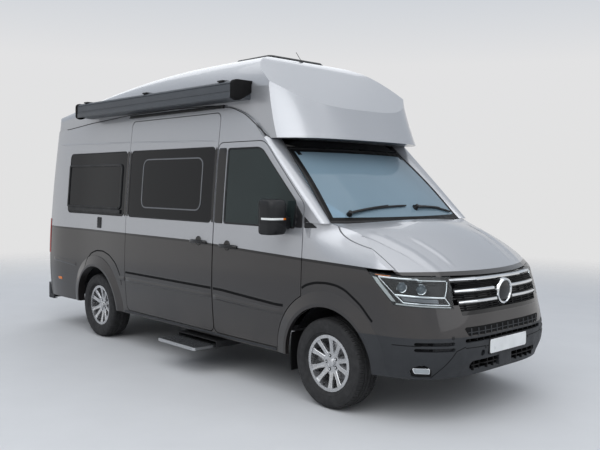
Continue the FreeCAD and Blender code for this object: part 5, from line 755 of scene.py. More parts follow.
# Seals round the panes
def seal(name, node, way, body="body", width=0.012, height=0.004, inset=0.004, step=0.014, material=GUM, pick=None):
    form = Form(name, material, body, "")
    for line in rims(node, way):
        if length(line) >= 0.5 and (pick is None or pick(middle_of(line))):
            form.sweep(framed(line, step, inset), strip(width, height, 0.004), True)


for side, sign in SIDES:
    seal("side_pane_seal_" + side, "side_glass", (0, sign, 0), pick=lambda m: m.y * sign > 0)
    seal("door_pane_seal_" + side, "door_glass_" + side, (0, sign, 0), "front_door_" + side, 0.016, 0.005, 0.006)
    seal("rear_pane_seal_" + side, "rear_glass_" + side, (-1, 0, 0), "rear_door_" + side, 0.018, 0.005, 0.006)
seal("sliding_pane_seal", "sliding_glass", (0, -1, 0), height=0.003)
seal("windscreen_seal", "windscreen", (0.7, 0, 0.7), "body", 0.022, 0.003, 0.01, 0.02)
seal("hatch_rim", "roof_hatch", (0, 0, 1), "roof_hatch", 0.03, 0.005, 0.016, 0.02, BLACK)

# Opening vents set in the side panes, with a ledge and a slide bar, and black strips on the pillars
PILLAR_Z = (1.392, 2.084)
for side, sign in SIDES:
    place = on_side(sign, "sliding_glass", "side_glass")
    if sign < 0:
        Form("vent_frame_sliding", TRIM_GREY).line(rect(-0.7, 0.34, 1.497, 1.988, 0.09), 0.012, place,
            strip(0.014, 0.0045), closed=True)
    if place(-1.9, 1.75):
        form = Form("vent_frame_rear_" + side, BLACK)
        form.line(rect(-2.43, -1.13, 1.47, 1.94, 0.05), 0.015, place, strip(0.026, 0.012), closed=True)
        form.line([(-2.44, 1.435), (-1.12, 1.435)], 0.03, place, strip(0.045, 0.014))
        form.line([(-2.4, 1.475), (-1.16, 1.475)], 0.03, place, strip(0.012, 0.008), 0.01)
    bands = [("front_door_" + side, 0.572, 0.69, PILLAR_Z[0], 2.07, "front_door_" + side)]
    if sign < 0:
        bands += [("body", -1.044, -1.004, *PILLAR_Z, "body_side_right"),
            ("body", -0.989, -0.964, *PILLAR_Z, "sliding_door"), ("body", 0.524, 0.549, *PILLAR_Z, "sliding_door")]
    for k, (body, *edges, node) in enumerate(bands):
        Form("pillar_strip_%s_%d" % (side, k), GLOSS, body).pad(rect(*edges, 0.006, 3), 0.03, on_side(sign, node),
            0.003, edge=0.001)


# Door handles: a scooped plate, a grip bar and a round lock boss
def handle(name, place, x0, x1, z, boss, body):
    boss_edge = [(boss + 0.045 * cos(a), z + 0.01 + 0.045 * sin(a)) for a in turns(40)]
    Form(name + "_plate", GLOSS, body).pad(rect(x0 - 0.006, x1 + 0.006, z - 0.016, z + 0.018, 0.015, 5), 0.008,
        place, 0.004).pad(boss_edge, None, place, 0.006, edge=0.003)
    Form(name + "_grip", GLOSS, body).sweep(bowed(place, (x0, z + 0.002), (x1, z + 0.002), 24,
        lambda t: 0.004 + 0.034 * sin(pi * t) ** 0.5), ring(0.013, 14, 0.009))
    Form(name + "_lock", CHROME, body).stud(place(x1 - 0.02, z + 0.002),
        mm(0, 4, 1.5, 4, 1.8, 1.5, 7.5, 1.5, 8.5, 0, 8.5, -3, 0, -3), 24, 0.004)


for side, sign in SIDES:
    body = "front_door_" + side
    handle("front_handle_" + side, on_side(sign, body), 0.659, 0.914, 1.19, 0.773, body)
handle("sliding_handle", on_side(-1, "sliding_door"), 0.21, 0.459, 1.205, 0.336, "body")

# Raised relief on the body: ledge bands and thin creases, one length per panel
LEDGE = [(-2.6, 0.735), (-2.1, 0.728), (-1.15, 0.7245), (0.55, 0.724), (1.1, 0.706), (1.53, 0.696)]
CREASE = [(-0.97, 0.813), (0.55, 0.8115), (0.7, 0.811), (1.11, 0.789), (1.42, 0.772)]
UPPER_CREASE = [(-2.6, 2.205), (-1.22, 2.182), (0.53, 2.14)]
REAR_LEDGE = [(-2.68, 0.818), (-2.51, 0.814), (-1.985, 0.775)]
REAR_CREASE = [(-2.68, 2.207), (-1.22, 2.182), (-1.0, 2.178)]


def level(line, x):
    for (x0, z0), (x1, z1) in zip(line, line[1:]):
        if x <= x1:
            return z0 + (z1 - z0) * max(0.0, x - x0) / (x1 - x0)
    return line[-1][1]


def relief(name, node, sign, body, spans, line, section, slot="paint_grey", material=PAINT, drift=0.0):
    form = Form(name, material, body, slot)
    for x0, x1 in spans:
        xs = [x0 + (x1 - x0) * k / 40 for k in range(41)]
        form.sweep(laid([(x, level(line, x) + drift) for x in xs], on_side(sign, node)), section,
            taper=lambda t: (1.0, ease(t, 20)))


for side, sign in SIDES:
    wall = "body_side_" + side
    panels = [(wall, "body", [(-1.13, -1.002 if sign < 0 else 0.56)]),
        ("front_door_" + side, "front_door_" + side, [(0.575, 1.52)])]
    if sign < 0:
        panels.append(("sliding_door", "body", [(-0.985, 0.545)]))
    for node, body, spans in panels:
        at = (node, sign, body)
        ahead = [s for s in spans if s[1] > -0.9]
        behind = [(max(a, -2.6), min(b, 0.545)) for a, b in spans if a < 0.5]
        relief("ledge_" + node, *at, spans, LEDGE, hump(0.048, 0.0095))
        relief("crease_" + node, *at, ahead, CREASE, hump(0.012, 0.003))
        # Dark strip of painted shade just under the lower crease, where the groove would lie in shadow
        relief("crease_painted_shade_" + node, *at, ahead, CREASE, strip(0.024, 0.0012, 0.002), "paint_grey", SHADOW,
            -0.016)
        relief("upper_crease_" + node, *at, behind, UPPER_CREASE, hump(0.014, 0.0035), "paint_silver")
    relief("rear_ledge_" + side, wall, sign, "body", [(-2.68, -2.12)], REAR_LEDGE, hump(0.05, 0.006))
    relief("rear_upper_crease_" + side, wall, sign, "body", [(-2.68, -1.01)], REAR_CREASE, hump(0.014, 0.0035),
        "paint_silver")

# Sills, strips of painted shadow along the front wheel flares, and the gasket under the roof cap
FLARE = [(1.569, 0.782), (1.64, 0.852), (1.772, 0.95), (1.88, 0.98), (1.994, 0.988), (2.1, 0.98), (2.186, 0.954),
    (2.332, 0.858), (2.443, 0.745)]
CAP_LINE = [(-2.8, 2.379), (-2.439, 2.39), (-1.936, 2.437), (-1.024, 2.478), (-0.2005, 2.485), (0.419, 2.471),
    (0.718, 2.432), (0.898, 2.369), (1.039, 2.284), (1.17, 2.174), (1.225, 2.146)]
for side, sign in SIDES:
    wall = "body_side_" + side
    Form("sill_strip_" + side, PLASTIC).line([(-1.05, 0.371), (1.47, 0.371)], 0.05, on_side(sign, wall),
        strip(0.02, 0.006))
    # Dark strip of painted shadow along the upper edge of the front wheel flare
    Form("flare_painted_shadow_" + side, SHADOW, slot="paint_grey").sweep(laid(curve(FLARE, 0.02),
        on_side(sign, "front_wings", "bumper_upper")), hump(0.02, 0.0026, 0.002))
    Form("cap_gasket_" + side, GUM).sweep(laid([(p.x, p.y - 0.004) for p in curve(CAP_LINE, 0.03, 4)],
        on_side(sign, "roof_cap", wall, "header_band", "front_door_" + side)), hump(0.009, 0.004))
track = Form("door_track", BLACK)
for z, section in ((2.452, strip(0.02, 0.014)), (2.436, strip(0.008, 0.022))):
    track.line([(-1.047, z), (0.596, z)], 0.03, on_side(-1, "body_side_right", "roof_cap"), section)

# Awning: end caps, lead rail and brackets
AWNING_X = (-1.96, 0.955)
AWNING_MIDDLE = Vector((-0.984, 2.556))
AWNING_END = rounded([(-1.096, 2.487, 0.035), (-1.096, 2.646, 0.045), (-0.872, 2.646, 0.02), (-0.89, 2.545, 0.03),
    (-1.02, 2.47, 0.02), (-1.06, 2.468, 0.03)])
shade = Form("awning_ends", SHADOW)
for x0, x1 in ((AWNING_X[0] - 0.012, AWNING_X[0] + 0.035), (AWNING_X[1] - 0.045, AWNING_X[1] + 0.014)):
    shade.loft([[Vector((x, *(AWNING_MIDDLE + (p - AWNING_MIDDLE) * scale))) for p in AWNING_END] for x,
        scale in ((x0, 0.93), (x0 + 0.004, 0.99), (x0 + 0.01, 1.0), (x1 - 0.01, 1.0), (x1 - 0.004, 0.99),
        (x1, 0.93))])
rail = Form("awning_lead_rail", ANTHRACITE)
for y0, y1, z0, z1, bevel, segments in ((-1.0965, -1.07, 2.484, 2.53, 0.008, 3),
        (-1.0945, -1.08, 2.545, 2.549, 0.0015, 1), (-1.0945, -1.078, 2.612, 2.615, 0.001, 1)):
    rail.block((AWNING_X[0] + 0.036, y0, z0), (AWNING_X[1] - 0.046, y1, z1), bevel, segments=segments)
holders = Form("awning_brackets", BLACK)
for x in (-1.75, -0.5, 0.75):
    holders.block((x - 0.04, -1.082, 2.638), (x + 0.04, -0.96, 2.652))

# Roof: dome of the hatch and the aerial
Form("hatch_dome", DARK_GLASS, "roof_hatch").pad(rect(0.07, 0.57, -0.35, 0.35, 0.06), 0.02, on_top("roof_hatch"),
    0.008, 0.0005, 0.006, (0.9, 0.75, 0.5, 0.25))
foot = on_top("roof_cap")(0.74, -0.1)
mast = [(foot[0] + Vector((-0.07 * t, 0, 0.016 + 0.085 * t)), Vector((0, 1, 0))) for t in (0, 0.25, 0.5, 0.75, 1.0)]
Form("aerial", BLACK).stud(foot, mm(0, 22, 6, 21, 11, 14, 19, 4, 21, -4, 0, -4), 24).sweep(mast, ring(0.0028, 8))

# Air vent on each rear quarter, side markers and mud flaps in the front wheel arches
for side, sign in SIDES:
    place = on_side(sign, "body_side_" + side)
    form = Form("quarter_vent_" + side, BLACK)
    form.pad(rect(-1.64, -1.542, 1.238, 1.362, 0.008, 4), 0.01, place, 0.004)
    for z in (1.253 + k * 0.0188 for k in range(6)):
        form.line([(-1.632, z), (-1.55, z)], 0.01, place, hump(0.012, 0.006), 0.003)
    Form("side_marker_" + side, AMBER).pad(rect(-2.575, -2.48, 0.572, 0.603, 0.01, 4), 0.008, place, 0.006,
        edge=0.003)
    rings = []
    for t in (k / 8 for k in range(9)):
        x = FRONT_AXLE - 0.418 - 0.01 * sin(pi * t)
        rings.append([Vector((x + dx, sign * y, 0.225 + 0.315 * t)) for dx,
            y in mm(0, 735, 4, 730, 8, 735, 8, 960, 4, 966, 0, 960)])
    Form("arch_flap_" + side, SHADOW).loft(rings)

# Flap details
Form("fuel_flap_pull", BLACK, "fuel_flap").pad(rect(0.318, 0.338, 0.98, 1.04, 0.008, 4), 0.006,
    on_side(1, "fuel_flap"), 0.004, -0.001)
locks = Form("service_flap_locks", BLACK, "service_flap")
place = on_side(1, "service_flap")
for x in (-2.56, -2.32):
    locks.stud(place(x, 0.735), mm(0, 6, 4, 6, 5, 4, 16, 4, 19, 1, 19, -2, 0, -2), 32)
Form("service_flap_rim", PAINT, "service_flap").line(rect(-2.605, -2.275, 0.722, 1.0, 0.03), 0.02, place,
    strip(0.012, 0.003), closed=True)

# The photograph's camera, and the places seen through it
YAW, PITCH, ROLL = 2.3879, -0.0535, 0.0106
EYE = Vector((5.9595, -4.989, 1.7368))
LOOK = Vector((cos(PITCH) * cos(YAW), cos(PITCH) * sin(YAW), sin(PITCH)))
LEVEL = LOOK.cross(Z_AXIS).normalized()
RISE = LEVEL.cross(LOOK)
ACROSS = cos(ROLL) * LEVEL + sin(ROLL) * RISE
UPRIGHT = cos(ROLL) * RISE - sin(ROLL) * LEVEL
FOCUS = 732.55  # in picture points


def seen(pixels, *names):
    """Places on named nodes behind points of the 600 by 450 picture"""
    found = [drop(names, EYE, LOOK * FOCUS + ACROSS * (u - 300) + UPRIGHT * (225 - v)) for u, v in pixels]
    return [f[0] for f in found if f]


# Strips of painted shadow over the rear wheel flares, and two soft creases a side on the bonnet
REAR_FLARE = [(84.6, 267.0), (87.0, 258.6), (91.0, 253.0), (96.5, 250.4), (103.0, 251.0), (109.5, 255.4),
    (115.5, 263.5), (119.6, 274.0), (121.6, 285.0)]
arc = [(p.x, p.z) for p in seen(REAR_FLARE, "body_side_right")]
for side, sign in SIDES:
    Form("rear_flare_painted_shadow_" + side, SHADOW, slot="paint_grey").sweep(laid(curve(arc, 0.02),
        on_side(sign, "body_side_" + side)), hump(0.016, 0.0022, 0.002), taper=lambda t: (ease(t, 6, 0.2), 1.0))
BONNET_CREASES = (([(366, 232), (378, 236), (396, 245), (412, 253), (430, 266), (443, 275)], 0.17, 0.01),
    ([(407.7, 235.7), (425, 245), (443, 257), (455.0, 267.5)], 0.1, 0.006))
for k, (pixels, width, height) in enumerate(BONNET_CREASES):
    crease = curve([(p.x, p.y) for p in seen(pixels, "bonnet")], 0.02, 6)
    for side, sign in SIDES:
        Form("bonnet_crease_%d_%s" % (k, side), PAINT, "bonnet", "paint_silver",
            60).sweep(laid([(p.x, abs(p.y) * sign) for p in crease], on_top("bonnet")), swell(width, height),
            taper=lambda t: (1.0 - 0.3 * t, sin(pi * ease(t, 3) / 2)))

# Headlamps: a lens over a dark bowl with strips of light and two projectors
LAMP_OUT, LAMP_ALONG = (0.6225, 0.7826), (0.7826, -0.6225)
LAMP = [Vector(p) for p in ((1.2606, 1.106), (1.4714, 0.884), (1.9053, 0.858), (1.8743, 1.075))]


def on_lamp(sign):
    """Place on a headlamp, from length along it and height"""
    out = Vector((LAMP_OUT[0], sign * LAMP_OUT[1], 0))
    along = Vector((LAMP_ALONG[0], sign * LAMP_ALONG[1], 0))
    return lambda h, z: drop(("headlamps",), along * h + out * END_X + Z_AXIS * z, -out)


def lamp_at(s, t):
    """Place in the lamp's outline: s from its outer to its inner end, t from bottom to top"""
    return LAMP[1].lerp(LAMP[2], s).lerp(LAMP[0].lerp(LAMP[3], s), t)


def lamp_quad(s0, s1, t0, t1, radius=0.006):
    return rounded([lamp_at(s0, t0), lamp_at(s1, t0), lamp_at(s1, t1), lamp_at(s0, t1)], radius, 4)


LAMP_LINES = (([(0.13, 0.93), (0.97, 0.93)], 0.01, 0.016, 0.008), ([(0.17, 0.36), (0.9, 0.36)], 0.01, 0.016, 0.008),
    ([(0.17, 0.36), (0.21, 0.12), (0.965, 0.12), (0.9, 0.36)], 0.008, 0.01, 0.007),
    ([(0.9, 0.36), (0.945, 0.62), (0.97, 0.9)], 0.008, 0.01, 0.007),
    ([(0.125, 0.9), (0.17, 0.36)], 0.008, 0.006, 0.007))
for side, sign in SIDES:
    place = on_lamp(sign)
    Form("lamp_bowl_" + side, BOWL).pad(lamp_quad(0.015, 0.985, 0.02, 0.97), 0.008, sunk(place, 0.052), 0.004,
        -0.003, scales=(0.8, 0.5))
    Form("lamp_wall_" + side, BOWL).line(lamp_quad(0.012, 0.988, 0.02, 0.965), 0.008, sunk(place, 0.026),
        mm(-2, -26, -2, 20, 2, 20, 2, -26), closed=True)
    trim = Form("lamp_trim_" + side, CHROME)
    for points, step, width, height in LAMP_LINES:
        trim.line([lamp_at(*p) for p in points], step, sunk(place, 0.016), strip(width, height, 0.006))
    Form("lamp_light_strip_" + side, PALE_LENS).pad(lamp_quad(0.025, 0.095, 0.13, 0.9), 0.008, sunk(place, 0.014),
        0.005, -0.006, 0.003).line([lamp_at(0.06, 0.055), lamp_at(0.965, 0.045)], 0.01, sunk(place, 0.012),
        strip(0.013, 0.005, 0.006))
    Form("lamp_indicator_" + side, AMBER).pad(lamp_quad(0.105, 0.3, 0.955, 0.995, 0.002), 0.008, sunk(place, 0.01),
        0.004, -0.005, 0.001)
    eyes = Form("lamp_projectors_" + side, MIRROR, sharp=20)
    glass = Form("lamp_eye_glass_" + side, EYE_GLASS, sharp=60)
    out = Vector((LAMP_OUT[0] + 0.35, sign * LAMP_OUT[1], 0))
    for s in (0.34, 0.62):
        found = place(*lamp_at(s, 0.645))
        if found:
            spot = found[0] - found[1] * 0.046
            eyes.lathe(spot, out, mm(20, 4, 26, 10, 34.5, 22, 37.5, 23.5, 39.5, 21, 38.5, 2, 20, -4), 40, True)
            glass.lathe(spot, out, mm(0, 20, 8, 19, 15, 15.5, 20, 9, 20.5, 0, 0, 0), 32)
    Form("lamp_reflector_" + side, TRIM_GREY).pad(lamp_quad(0.235, 0.8, 0.17, 0.31, 0.004), 0.008,
        sunk(place, 0.024), 0.003, -0.006)

# Grille: chrome bands over its bars, a dark back with fins and slats before it, and a plain round badge
FACE = on_front("grille")
ALL_FACE = on_front("grille", "bumper_upper", "headlamps", "front_wings")
GRILLE_Z = 0.979
FLAT_BLADE = ((-0.012, -0.004), (0.012, -0.004), (0.014, 0), (0.012, 0.004), (-0.012, 0.004))


def span(half, count):
    """Places from one side to the other"""
    return [half * (2 * k / count - 1) for k in range(count + 1)]


chrome = Form("grille_bands", CHROME)
for z, half, gap, width in ((1.056, 0.556, 0.0, 0.026), (0.979, 0.545, 0.118, 0.024), (0.9, 0.53, 0.108, 0.022)):
    for sign in (-1, 1):
        points = [(sign * (gap + (half - gap) * k / 30), z) for k in range(31)]
        chrome.sweep(laid(points, lambda y, z: FACE(y, z) or FACE(y * 0.985, z) or ALL_FACE(y, z)),
            strip(width, 0.011, 0.004), taper=lambda t: (1.0 - 0.35 * t ** 3, 1.0))
fins, rings = Form("grille_back", BOWL), []
for y in span(0.5, 40):
    found = FACE(y, GRILLE_Z)
    x = found[0].x - 0.085 if found else 2.75
    rings.append([Vector((a, y, z)) for a, z in ((x, 0.8), (x, 1.075), (x - 0.006, 1.075), (x - 0.006, 0.8))])
fins.loft(rings)
for z in (0.852, 0.868, 0.932, 0.947, 1.012, 1.026):
    spots = [FACE(y, GRILLE_Z) for y in span(0.5, 40)]
    fins.sweep([(Vector((f[0].x - 0.045, f[0].y, z)), Z_AXIS) for f in spots if f],
        mm(-40, -2.2, 20, -2.2, 22, 0, 20, 2.2, -40, 2.2))
slats = Form("grille_slats", SHADOW, slot="black_gloss")
for low, high in ((0.836, 0.885), (0.915, 0.964), (0.994, 1.043)):
    for k in range(3):
        z = low + (high - low) * (k + 0.5) / 3
        frames = []
        for y in span(0.505 + 0.055 * (z - 0.806) / 0.26, 40):
            found = FACE(y, GRILLE_Z)
            base = FACE(y, 0.9) or found
            if found:
                x = base[0].x + (found[0].x - base[0].x) * (z - 0.9) / 0.079
                frames.append((Vector((x, y, z)), found[1]))
        slats.sweep(frames, strip(0.0105, 0.0015, 0.02))
spot = Vector((FACE(0.0, GRILLE_Z)[0].x - 0.004, 0.0, 0.948))
Form("round_badge", CHROME, sharp=24).lathe(spot, (1, 0, -0.05),
    mm(80, 10, 83.5, 18.5, 90, 21.5, 96.5, 18.5, 100, 10, 100, -12, 80, -12), 72, True)
Form("round_badge_face", GLOSS, sharp=24).lathe(spot, (1, 0, -0.05),
    mm(0, 15, 30, 14.5, 60, 12.5, 80.5, 9.5, 80.5, -10, 0, -10), 64)

# Bumper: dark grids in its openings, seams, fog lamps and a blank plate
UPPER = on_front("bumper_upper")
LOWER = on_front("bumper_lower")
BUMPER = on_front("bumper_lower", "bumper_upper")


def face_x(y, z=0.55):
    found = LOWER(y, z)
    return found[0].x if found else 2.9


grid = Form("bumper_grids", BOWL)
for half, low, high in ((0.535, 0.585, 0.735), (0.465, 0.365, 0.5)):
    rings = []
    for y in span(half, 36):
        x = face_x(y) - 0.075
        rings.append([Vector((a, y, z)) for a, z in ((x, low), (x, high), (x - 0.005, high), (x - 0.005, low))])
    grid.loft(rings)
for count, pitch, z, low, high, front in ((6, 0.078, 0.6, 0.592, 0.662, 0.012),
        (5, 0.082, 0.5, 0.395, 0.48, 0.014)):
    for y in span(count * pitch, 2 * count):
        x = face_x(y, z)
        grid.block((x - 0.075, y - 0.005, low), (x - front, y + 0.005, high), 0.002)
grid.sweep([(Vector((face_x(y, 0.5) - 0.022, y, 0.4375)), Z_AXIS) for y in span(0.44, 36)], FLAT_BLADE)
Form("bumper_upper_slot", SHADOW, slot="black_gloss").pad(rounded([(-0.475, 0.65), (0.475, 0.65),
    (0.52, 0.722, 0.02), (-0.52, 0.722, 0.02)], 0.012), 0.02, UPPER, 0.002, edge=0.001,
    scales=(0.9, 0.75, 0.6, 0.45, 0.3, 0.15))
teeth = Form("bumper_slot_dividers", PLASTIC)
for y in span(0.456, 12):
    teeth.line([(y - 0.004, 0.657), (y + 0.004, 0.712)], 0.008, UPPER, strip(0.01, 0.006, 0.002), 0.001)
teeth.line([(-0.49, 0.683), (0.49, 0.683)], 0.02, UPPER, strip(0.006, 0.003, 0.002), 0.001)
Form("bumper_tow_cover", PLASTIC).pad(rect(-0.1, 0.075, 0.392, 0.484, 0.012), 0.01, lambda y,
    z: (Vector((face_x(y, 0.5) - 0.008, y, z)), Vector((1, 0, 0))), 0.005, -0.03, 0.003)
seams = Form("bumper_seams", SHADOW)
for sign in (-1, 1):
    for points in ([(0.52, 0.585), (0.6, 0.56), (0.735, 0.365)], [(0.66, 0.605), (0.92, 0.6)],
            [(0.1, 0.565), (0.52, 0.575)]):
        seams.line(mirrored(points, sign), 0.012, BUMPER, strip(0.006, 0.0012, 0.002))
fog, fog_glass, fog_frame = (Form("fog_lamps", MIRROR, sharp=25), Form("fog_lenses", FOG_LENS, sharp=50),
    Form("fog_frames", BOWL))
for sign in (-1, 1):
    a, b = (Vector((*BUMPER(sign * y, 0.475)[0].xy, 0.416)) for y in (0.715, 0.885))
    across = (b - a).normalized()
    out = Vector((abs(across.y), -across.x * sign, 0)).normalized()
    middle = (a + b) / 2 - out * 0.004
    place = lambda p, q: (middle + across * p + Z_AXIS * q, out)
    for form, corners, radius, step, high, low, edge in ((fog_frame, mm(-80, -40, 62, -40, 82, 34, -80, 34), 0.014,
            0.01, 0.004, -0.02, 0.003), (fog_glass, mm(-66, -16, 40, -16, 54, 18, -66, 18), 0.008, 0.008, 0.008,
            -0.004, 0.003), (fog, mm(-70, -20, 44, -20, 60, 22, -70, 22), 0.009, 0.008, 0.0055, -0.004, 0.002)):
        form.pad(rounded(corners, radius), step, place, high, low, edge)


PLATE_WIDE, PLATE_HIGH = 0.510, 0.105


def plate(name, middle, normal, body):
    """Blank plate in a dark holder, with a raised edge"""
    normal = Vector(normal).normalized()
    across = Z_AXIS.cross(normal).normalized()
    up = normal.cross(across)
    place = lambda a, b: (Vector(middle) + across * a + up * b, normal)
    w, h = PLATE_WIDE / 2, PLATE_HIGH / 2
    Form(name + "_holder", BLACK, body).pad(rect(-w - 0.009, w + 0.009, -h - 0.009, h + 0.009, 0.01), 0.02, place,
        0.003, -0.012, scales=(0.5,))
    Form(name, WHITE, body).pad(rect(-w, w, -h, h, 0.008), 0.02, place, 0.0055, 0.001, 0.001,
        (0.5,)).line(rect(-w + 0.006, w - 0.006, -h + 0.006, h - 0.006, 0.006), 0.01, place,
        hump(0.004, 0.0012, 0.001), 0.005, True)


front_x = max(face_x(y / 100, z / 100) for y in range(-26, 27, 13) for z in (50, 55, 60))
plate("front_plate", (front_x + 0.0015, 0.0, 0.556), (1, 0, 0), "body")

# Door mirrors: a rounded housing with its arm, a bright line round it and the glass
HEAD_X, HEAD_Y = 1.4405, 1.126
HEAD_PLAN = rounded([(HEAD_X, 1.213, 0.03), (1.6115, 1.213, 0.066), (1.6115, 1.04, 0.04), (HEAD_X, 1.04, 0.014)],
    0.03, 8)
HEAD_ROWS = ((1.3405, 0.72), (1.344, 0.84), (1.353, 0.93), (1.368, 0.98), (1.39, 1.0), (1.44, 1.0), (1.4405, 0.985),
    (1.444, 0.985), (1.4445, 1.0), (1.55, 1.0), (1.58, 0.985), (1.603, 0.945), (1.618, 0.87), (1.6255, 0.77),
    (1.6278, 0.66))
for side, sign in SIDES:
    node, body = "mirror_" + side, "front_door_" + side
    ys = sorted((sign * 0.9865, sign * 1.075))
    Form("mirror_shell_" + side, BLACK, body, sharp=50, replaces=(node,)).loft([[Vector((HEAD_X + (p.x - HEAD_X) *
        scale, sign * (HEAD_Y + (p.y - HEAD_Y) * scale), z)) for p in HEAD_PLAN] for z,
        scale in HEAD_ROWS]).block((1.505, ys[0], 1.386), (1.592, ys[1], 1.486), 0.022, segments=5)
    wrap = [p for p in even(HEAD_PLAN, 0.005, True) if p.x > 1.478 and p.y > 1.062]
    wrap.sort(key=lambda p: atan2(p.y - 1.12, p.x - 1.5))
    frames = [(Vector((p.x, sign * p.y, 1.47)), Vector((p.x - 1.53, sign * (p.y - HEAD_Y),
        0)).normalized()) for p in wrap]
    Form("mirror_line_" + side, PALE_LENS, body, "chrome").sweep(frames[6:], strip(0.017, 0.0012, 0.003))
    Form("mirror_signal_" + side, AMBER, body).sweep(frames[:7], strip(0.016, 0.0012, 0.003))
    back = lambda y, z: drop((node,), (1.2, y, z), (1, 0, 0))
    pane = Form("mirror_glass_" + side, MIRROR, body)
    for low, high in ((1.452, 1.606), (1.352, 1.44)):
        pane.pad(mirrored(rect(1.062, 1.192, low, high), sign), 0.012, back, 0.002, edge=0.001)
    edge = even(rect(1.055, 1.199, 1.345, 1.613, 0.026), 0.01, True)
    Form("mirror_rim_" + side, GUM, body).sweep(laid(mirrored(edge, sign), back), strip(0.008, 0.005), True)
    Form("door_corner_trim_" + side, BLACK, body).pad(rounded([(1.6, 1.4), (1.716, 1.4), (1.716, 1.5),
        (1.64, 1.588), (1.612, 1.588)], 0.012), 0.012, on_side(sign, body, "door_glass_" + side), 0.004)
    Form("wing_corner_trim_" + side, BLACK).pad(rounded([(1.735, 1.4), (1.85, 1.405), (1.735, 1.495)], 0.008),
        0.012, on_side(sign, "body_side_" + side, "front_wings", "windscreen"), 0.003, edge=0.001)

# Windscreen: printed edge band, sensor box, wipers and cowl slats
SCREEN_NORMAL = Vector((0.69, 0.0, 0.72))
SCREEN_FOOT, SCREEN_HEAD = Vector((1.9, 0, 1.45)), Vector((1.27, 0, 2.06))


def on_screen(y, share):
    """Place on the screen: y across, share from its foot to its head"""
    start = SCREEN_FOOT.lerp(SCREEN_HEAD, share) + Vector((0, y, 0)) + SCREEN_NORMAL * 0.8
    return drop(("windscreen",), start, -SCREEN_NORMAL)


print_band, rings = Form("screen_print", BOWL, sharp=60), []
print_band.sweep(framed(rims("windscreen", SCREEN_NORMAL, 0.5)[0], 0.02, 0.028),
    mm(-28, -1, -28, 0.6, 28, 0.6, 28, -1), True)
for y in span(0.7, 40):
    ends = [on_screen(y, s) for s in (0.875, 0.93, 0.985)]
    if all(ends):
        rings.append([e[0] + e[1] * 0.0008 for e in ends] + [e[0] - e[1] * 0.0012 for e in reversed(ends)])
print_band.loft(rings)
spot, normal = on_screen(0.0, 0.84)
middle, stem, half = spot - normal * 0.03, spot - normal * 0.05, Vector((0.055, 0.055, 0.014))
Form("screen_sensor", BLACK).block(middle - half, middle + half, 0.01,
    SCREEN_NORMAL.to_track_quat("Z", "Y").to_matrix(), 3).block(stem + Vector((-0.1, -0.115, -0.055)),
    stem + Vector((-0.075, 0.115, 0.01)), 0.01, None, 3)


def wiper(name, pivot_y, tip, blade_start, blade_end):
    """Arm, pivot and blade of a wiper; the places are y across and share of the screen's height"""
    pivot = (pivot_y, 0.025)
    Form(name, BLACK, sharp=30).sweep(bowed(on_screen, pivot, tip, 12, lambda t: 0.026 - 0.006 * t),
        mm(-11, -4, -11, 3, -6, 7, 6, 7, 11, 3, 11, -4), taper=lambda t: (1.0 - 0.55 * t,
        1.0)).stud(on_screen(*pivot), mm(0, 40, 12, 39, 18, 34, 20, 16, 24, 6, 24, -6, 0, -6),
        lift=0.004).sweep(bowed(on_screen, blade_start, blade_end, 24, lambda t: 0.01),
        mm(-3, -8, -9, 1, -8, 6, 0, 11, 8, 6, 9, 1, 3, -8), taper=lambda t: (ease(t, 8, 0.4), 1.0))


wiper("wiper_left", 0.14, (0.52, 0.046), (0.12, 0.05), (0.74, 0.04))
wiper("wiper_right", -0.66, (-0.22, 0.052), (-0.66, 0.034), (0.02, 0.05))
slats = Form("cowl_slats", BLACK)
for y in span(0.765, 18):
    found = [on_top("cowl")(x, y) for x in (1.835, 1.855, 1.875)]
    if all(found):
        slats.sweep([(f[0] + f[1] * 0.0005, f[1]) for f in found], hump(0.01, 0.004))

# Rear: lamps, relief of the doors, wipers and edge seals
rear = on_rear("tail_lamps")
for side, sign in SIDES:
    spots = [v.co for v in NODES["tail_lamps"].data.vertices if v.co.y * sign > 0]
    z0, tall = min(c.z for c in spots), max(c.z for c in spots) - min(c.z for c in spots)
    y0, wide = min(abs(c.y) for c in spots), max(abs(c.y) for c in spots) - min(abs(c.y) for c in spots)
    a, b = y0 + wide * 0.16, y0 + wide * 0.66
    parts = []
    for name, material, s0, s1 in (("lights_", PALE_LENS, 0.1, 0.24), ("indicator_", AMBER, 0.28, 0.46),
            ("ribs_", RED_LENS, 0.5, 0.92)):
        parts.append(Form("tail_lamp_" + name + side, material).pad(mirrored(rect(a, b, z0 + tall * s0,
            z0 + tall * s1, 0.006, 4), sign), 0.008, rear, 0.003, -0.003, 0.0015))
    for z in (z0 + tall * (0.54 + 0.085 * k) for k in range(5)):
        parts[2].line([(sign * (a + 0.004), z), (sign * (b - 0.004), z)], 0.01, rear, hump(0.012, 0.003), 0.0025)

for side, sign in SIDES:
    body = "rear_door_" + side
    door, pane = on_rear(body), on_rear("rear_glass_" + side, body)
    panel = Form("rear_panel_relief_" + side, PAINT, body)
    for z in (0.77, 1.33):
        panel.line([(sign * 0.04, z), (sign * 0.745, z)], 0.03, door, hump(0.03, 0.005),
            taper=lambda t: (1.0, ease(t, 15)))
    Form("rear_wiper_" + side, BLACK, body).stud(door(sign * 0.36, 1.392),
        mm(0, 34, 14, 33, 19, 26, 22, 6, 22, -4, 0, -4)).line([(sign * 0.36, 1.392), (sign * 0.24, 1.47)], 0.01,
        pane, mm(-9, -4, -9, 4, 0, 7, 9, 4, 9, -4), 0.026, taper=lambda t: (1.0 - 0.3 * t,
        1.0)).line([(sign * 0.1, 1.462), (sign * 0.44, 1.48)], 0.02, pane, mm(-3, -12, -8, 1, 0, 9, 8, 1, 3, -12),
        0.014)
    Form("rear_edge_seal_" + side, GUM, body).line([(sign * 0.012, 0.56), (sign * 0.012, 1.4)], 0.03, door,
        hump(0.01, 0.004))

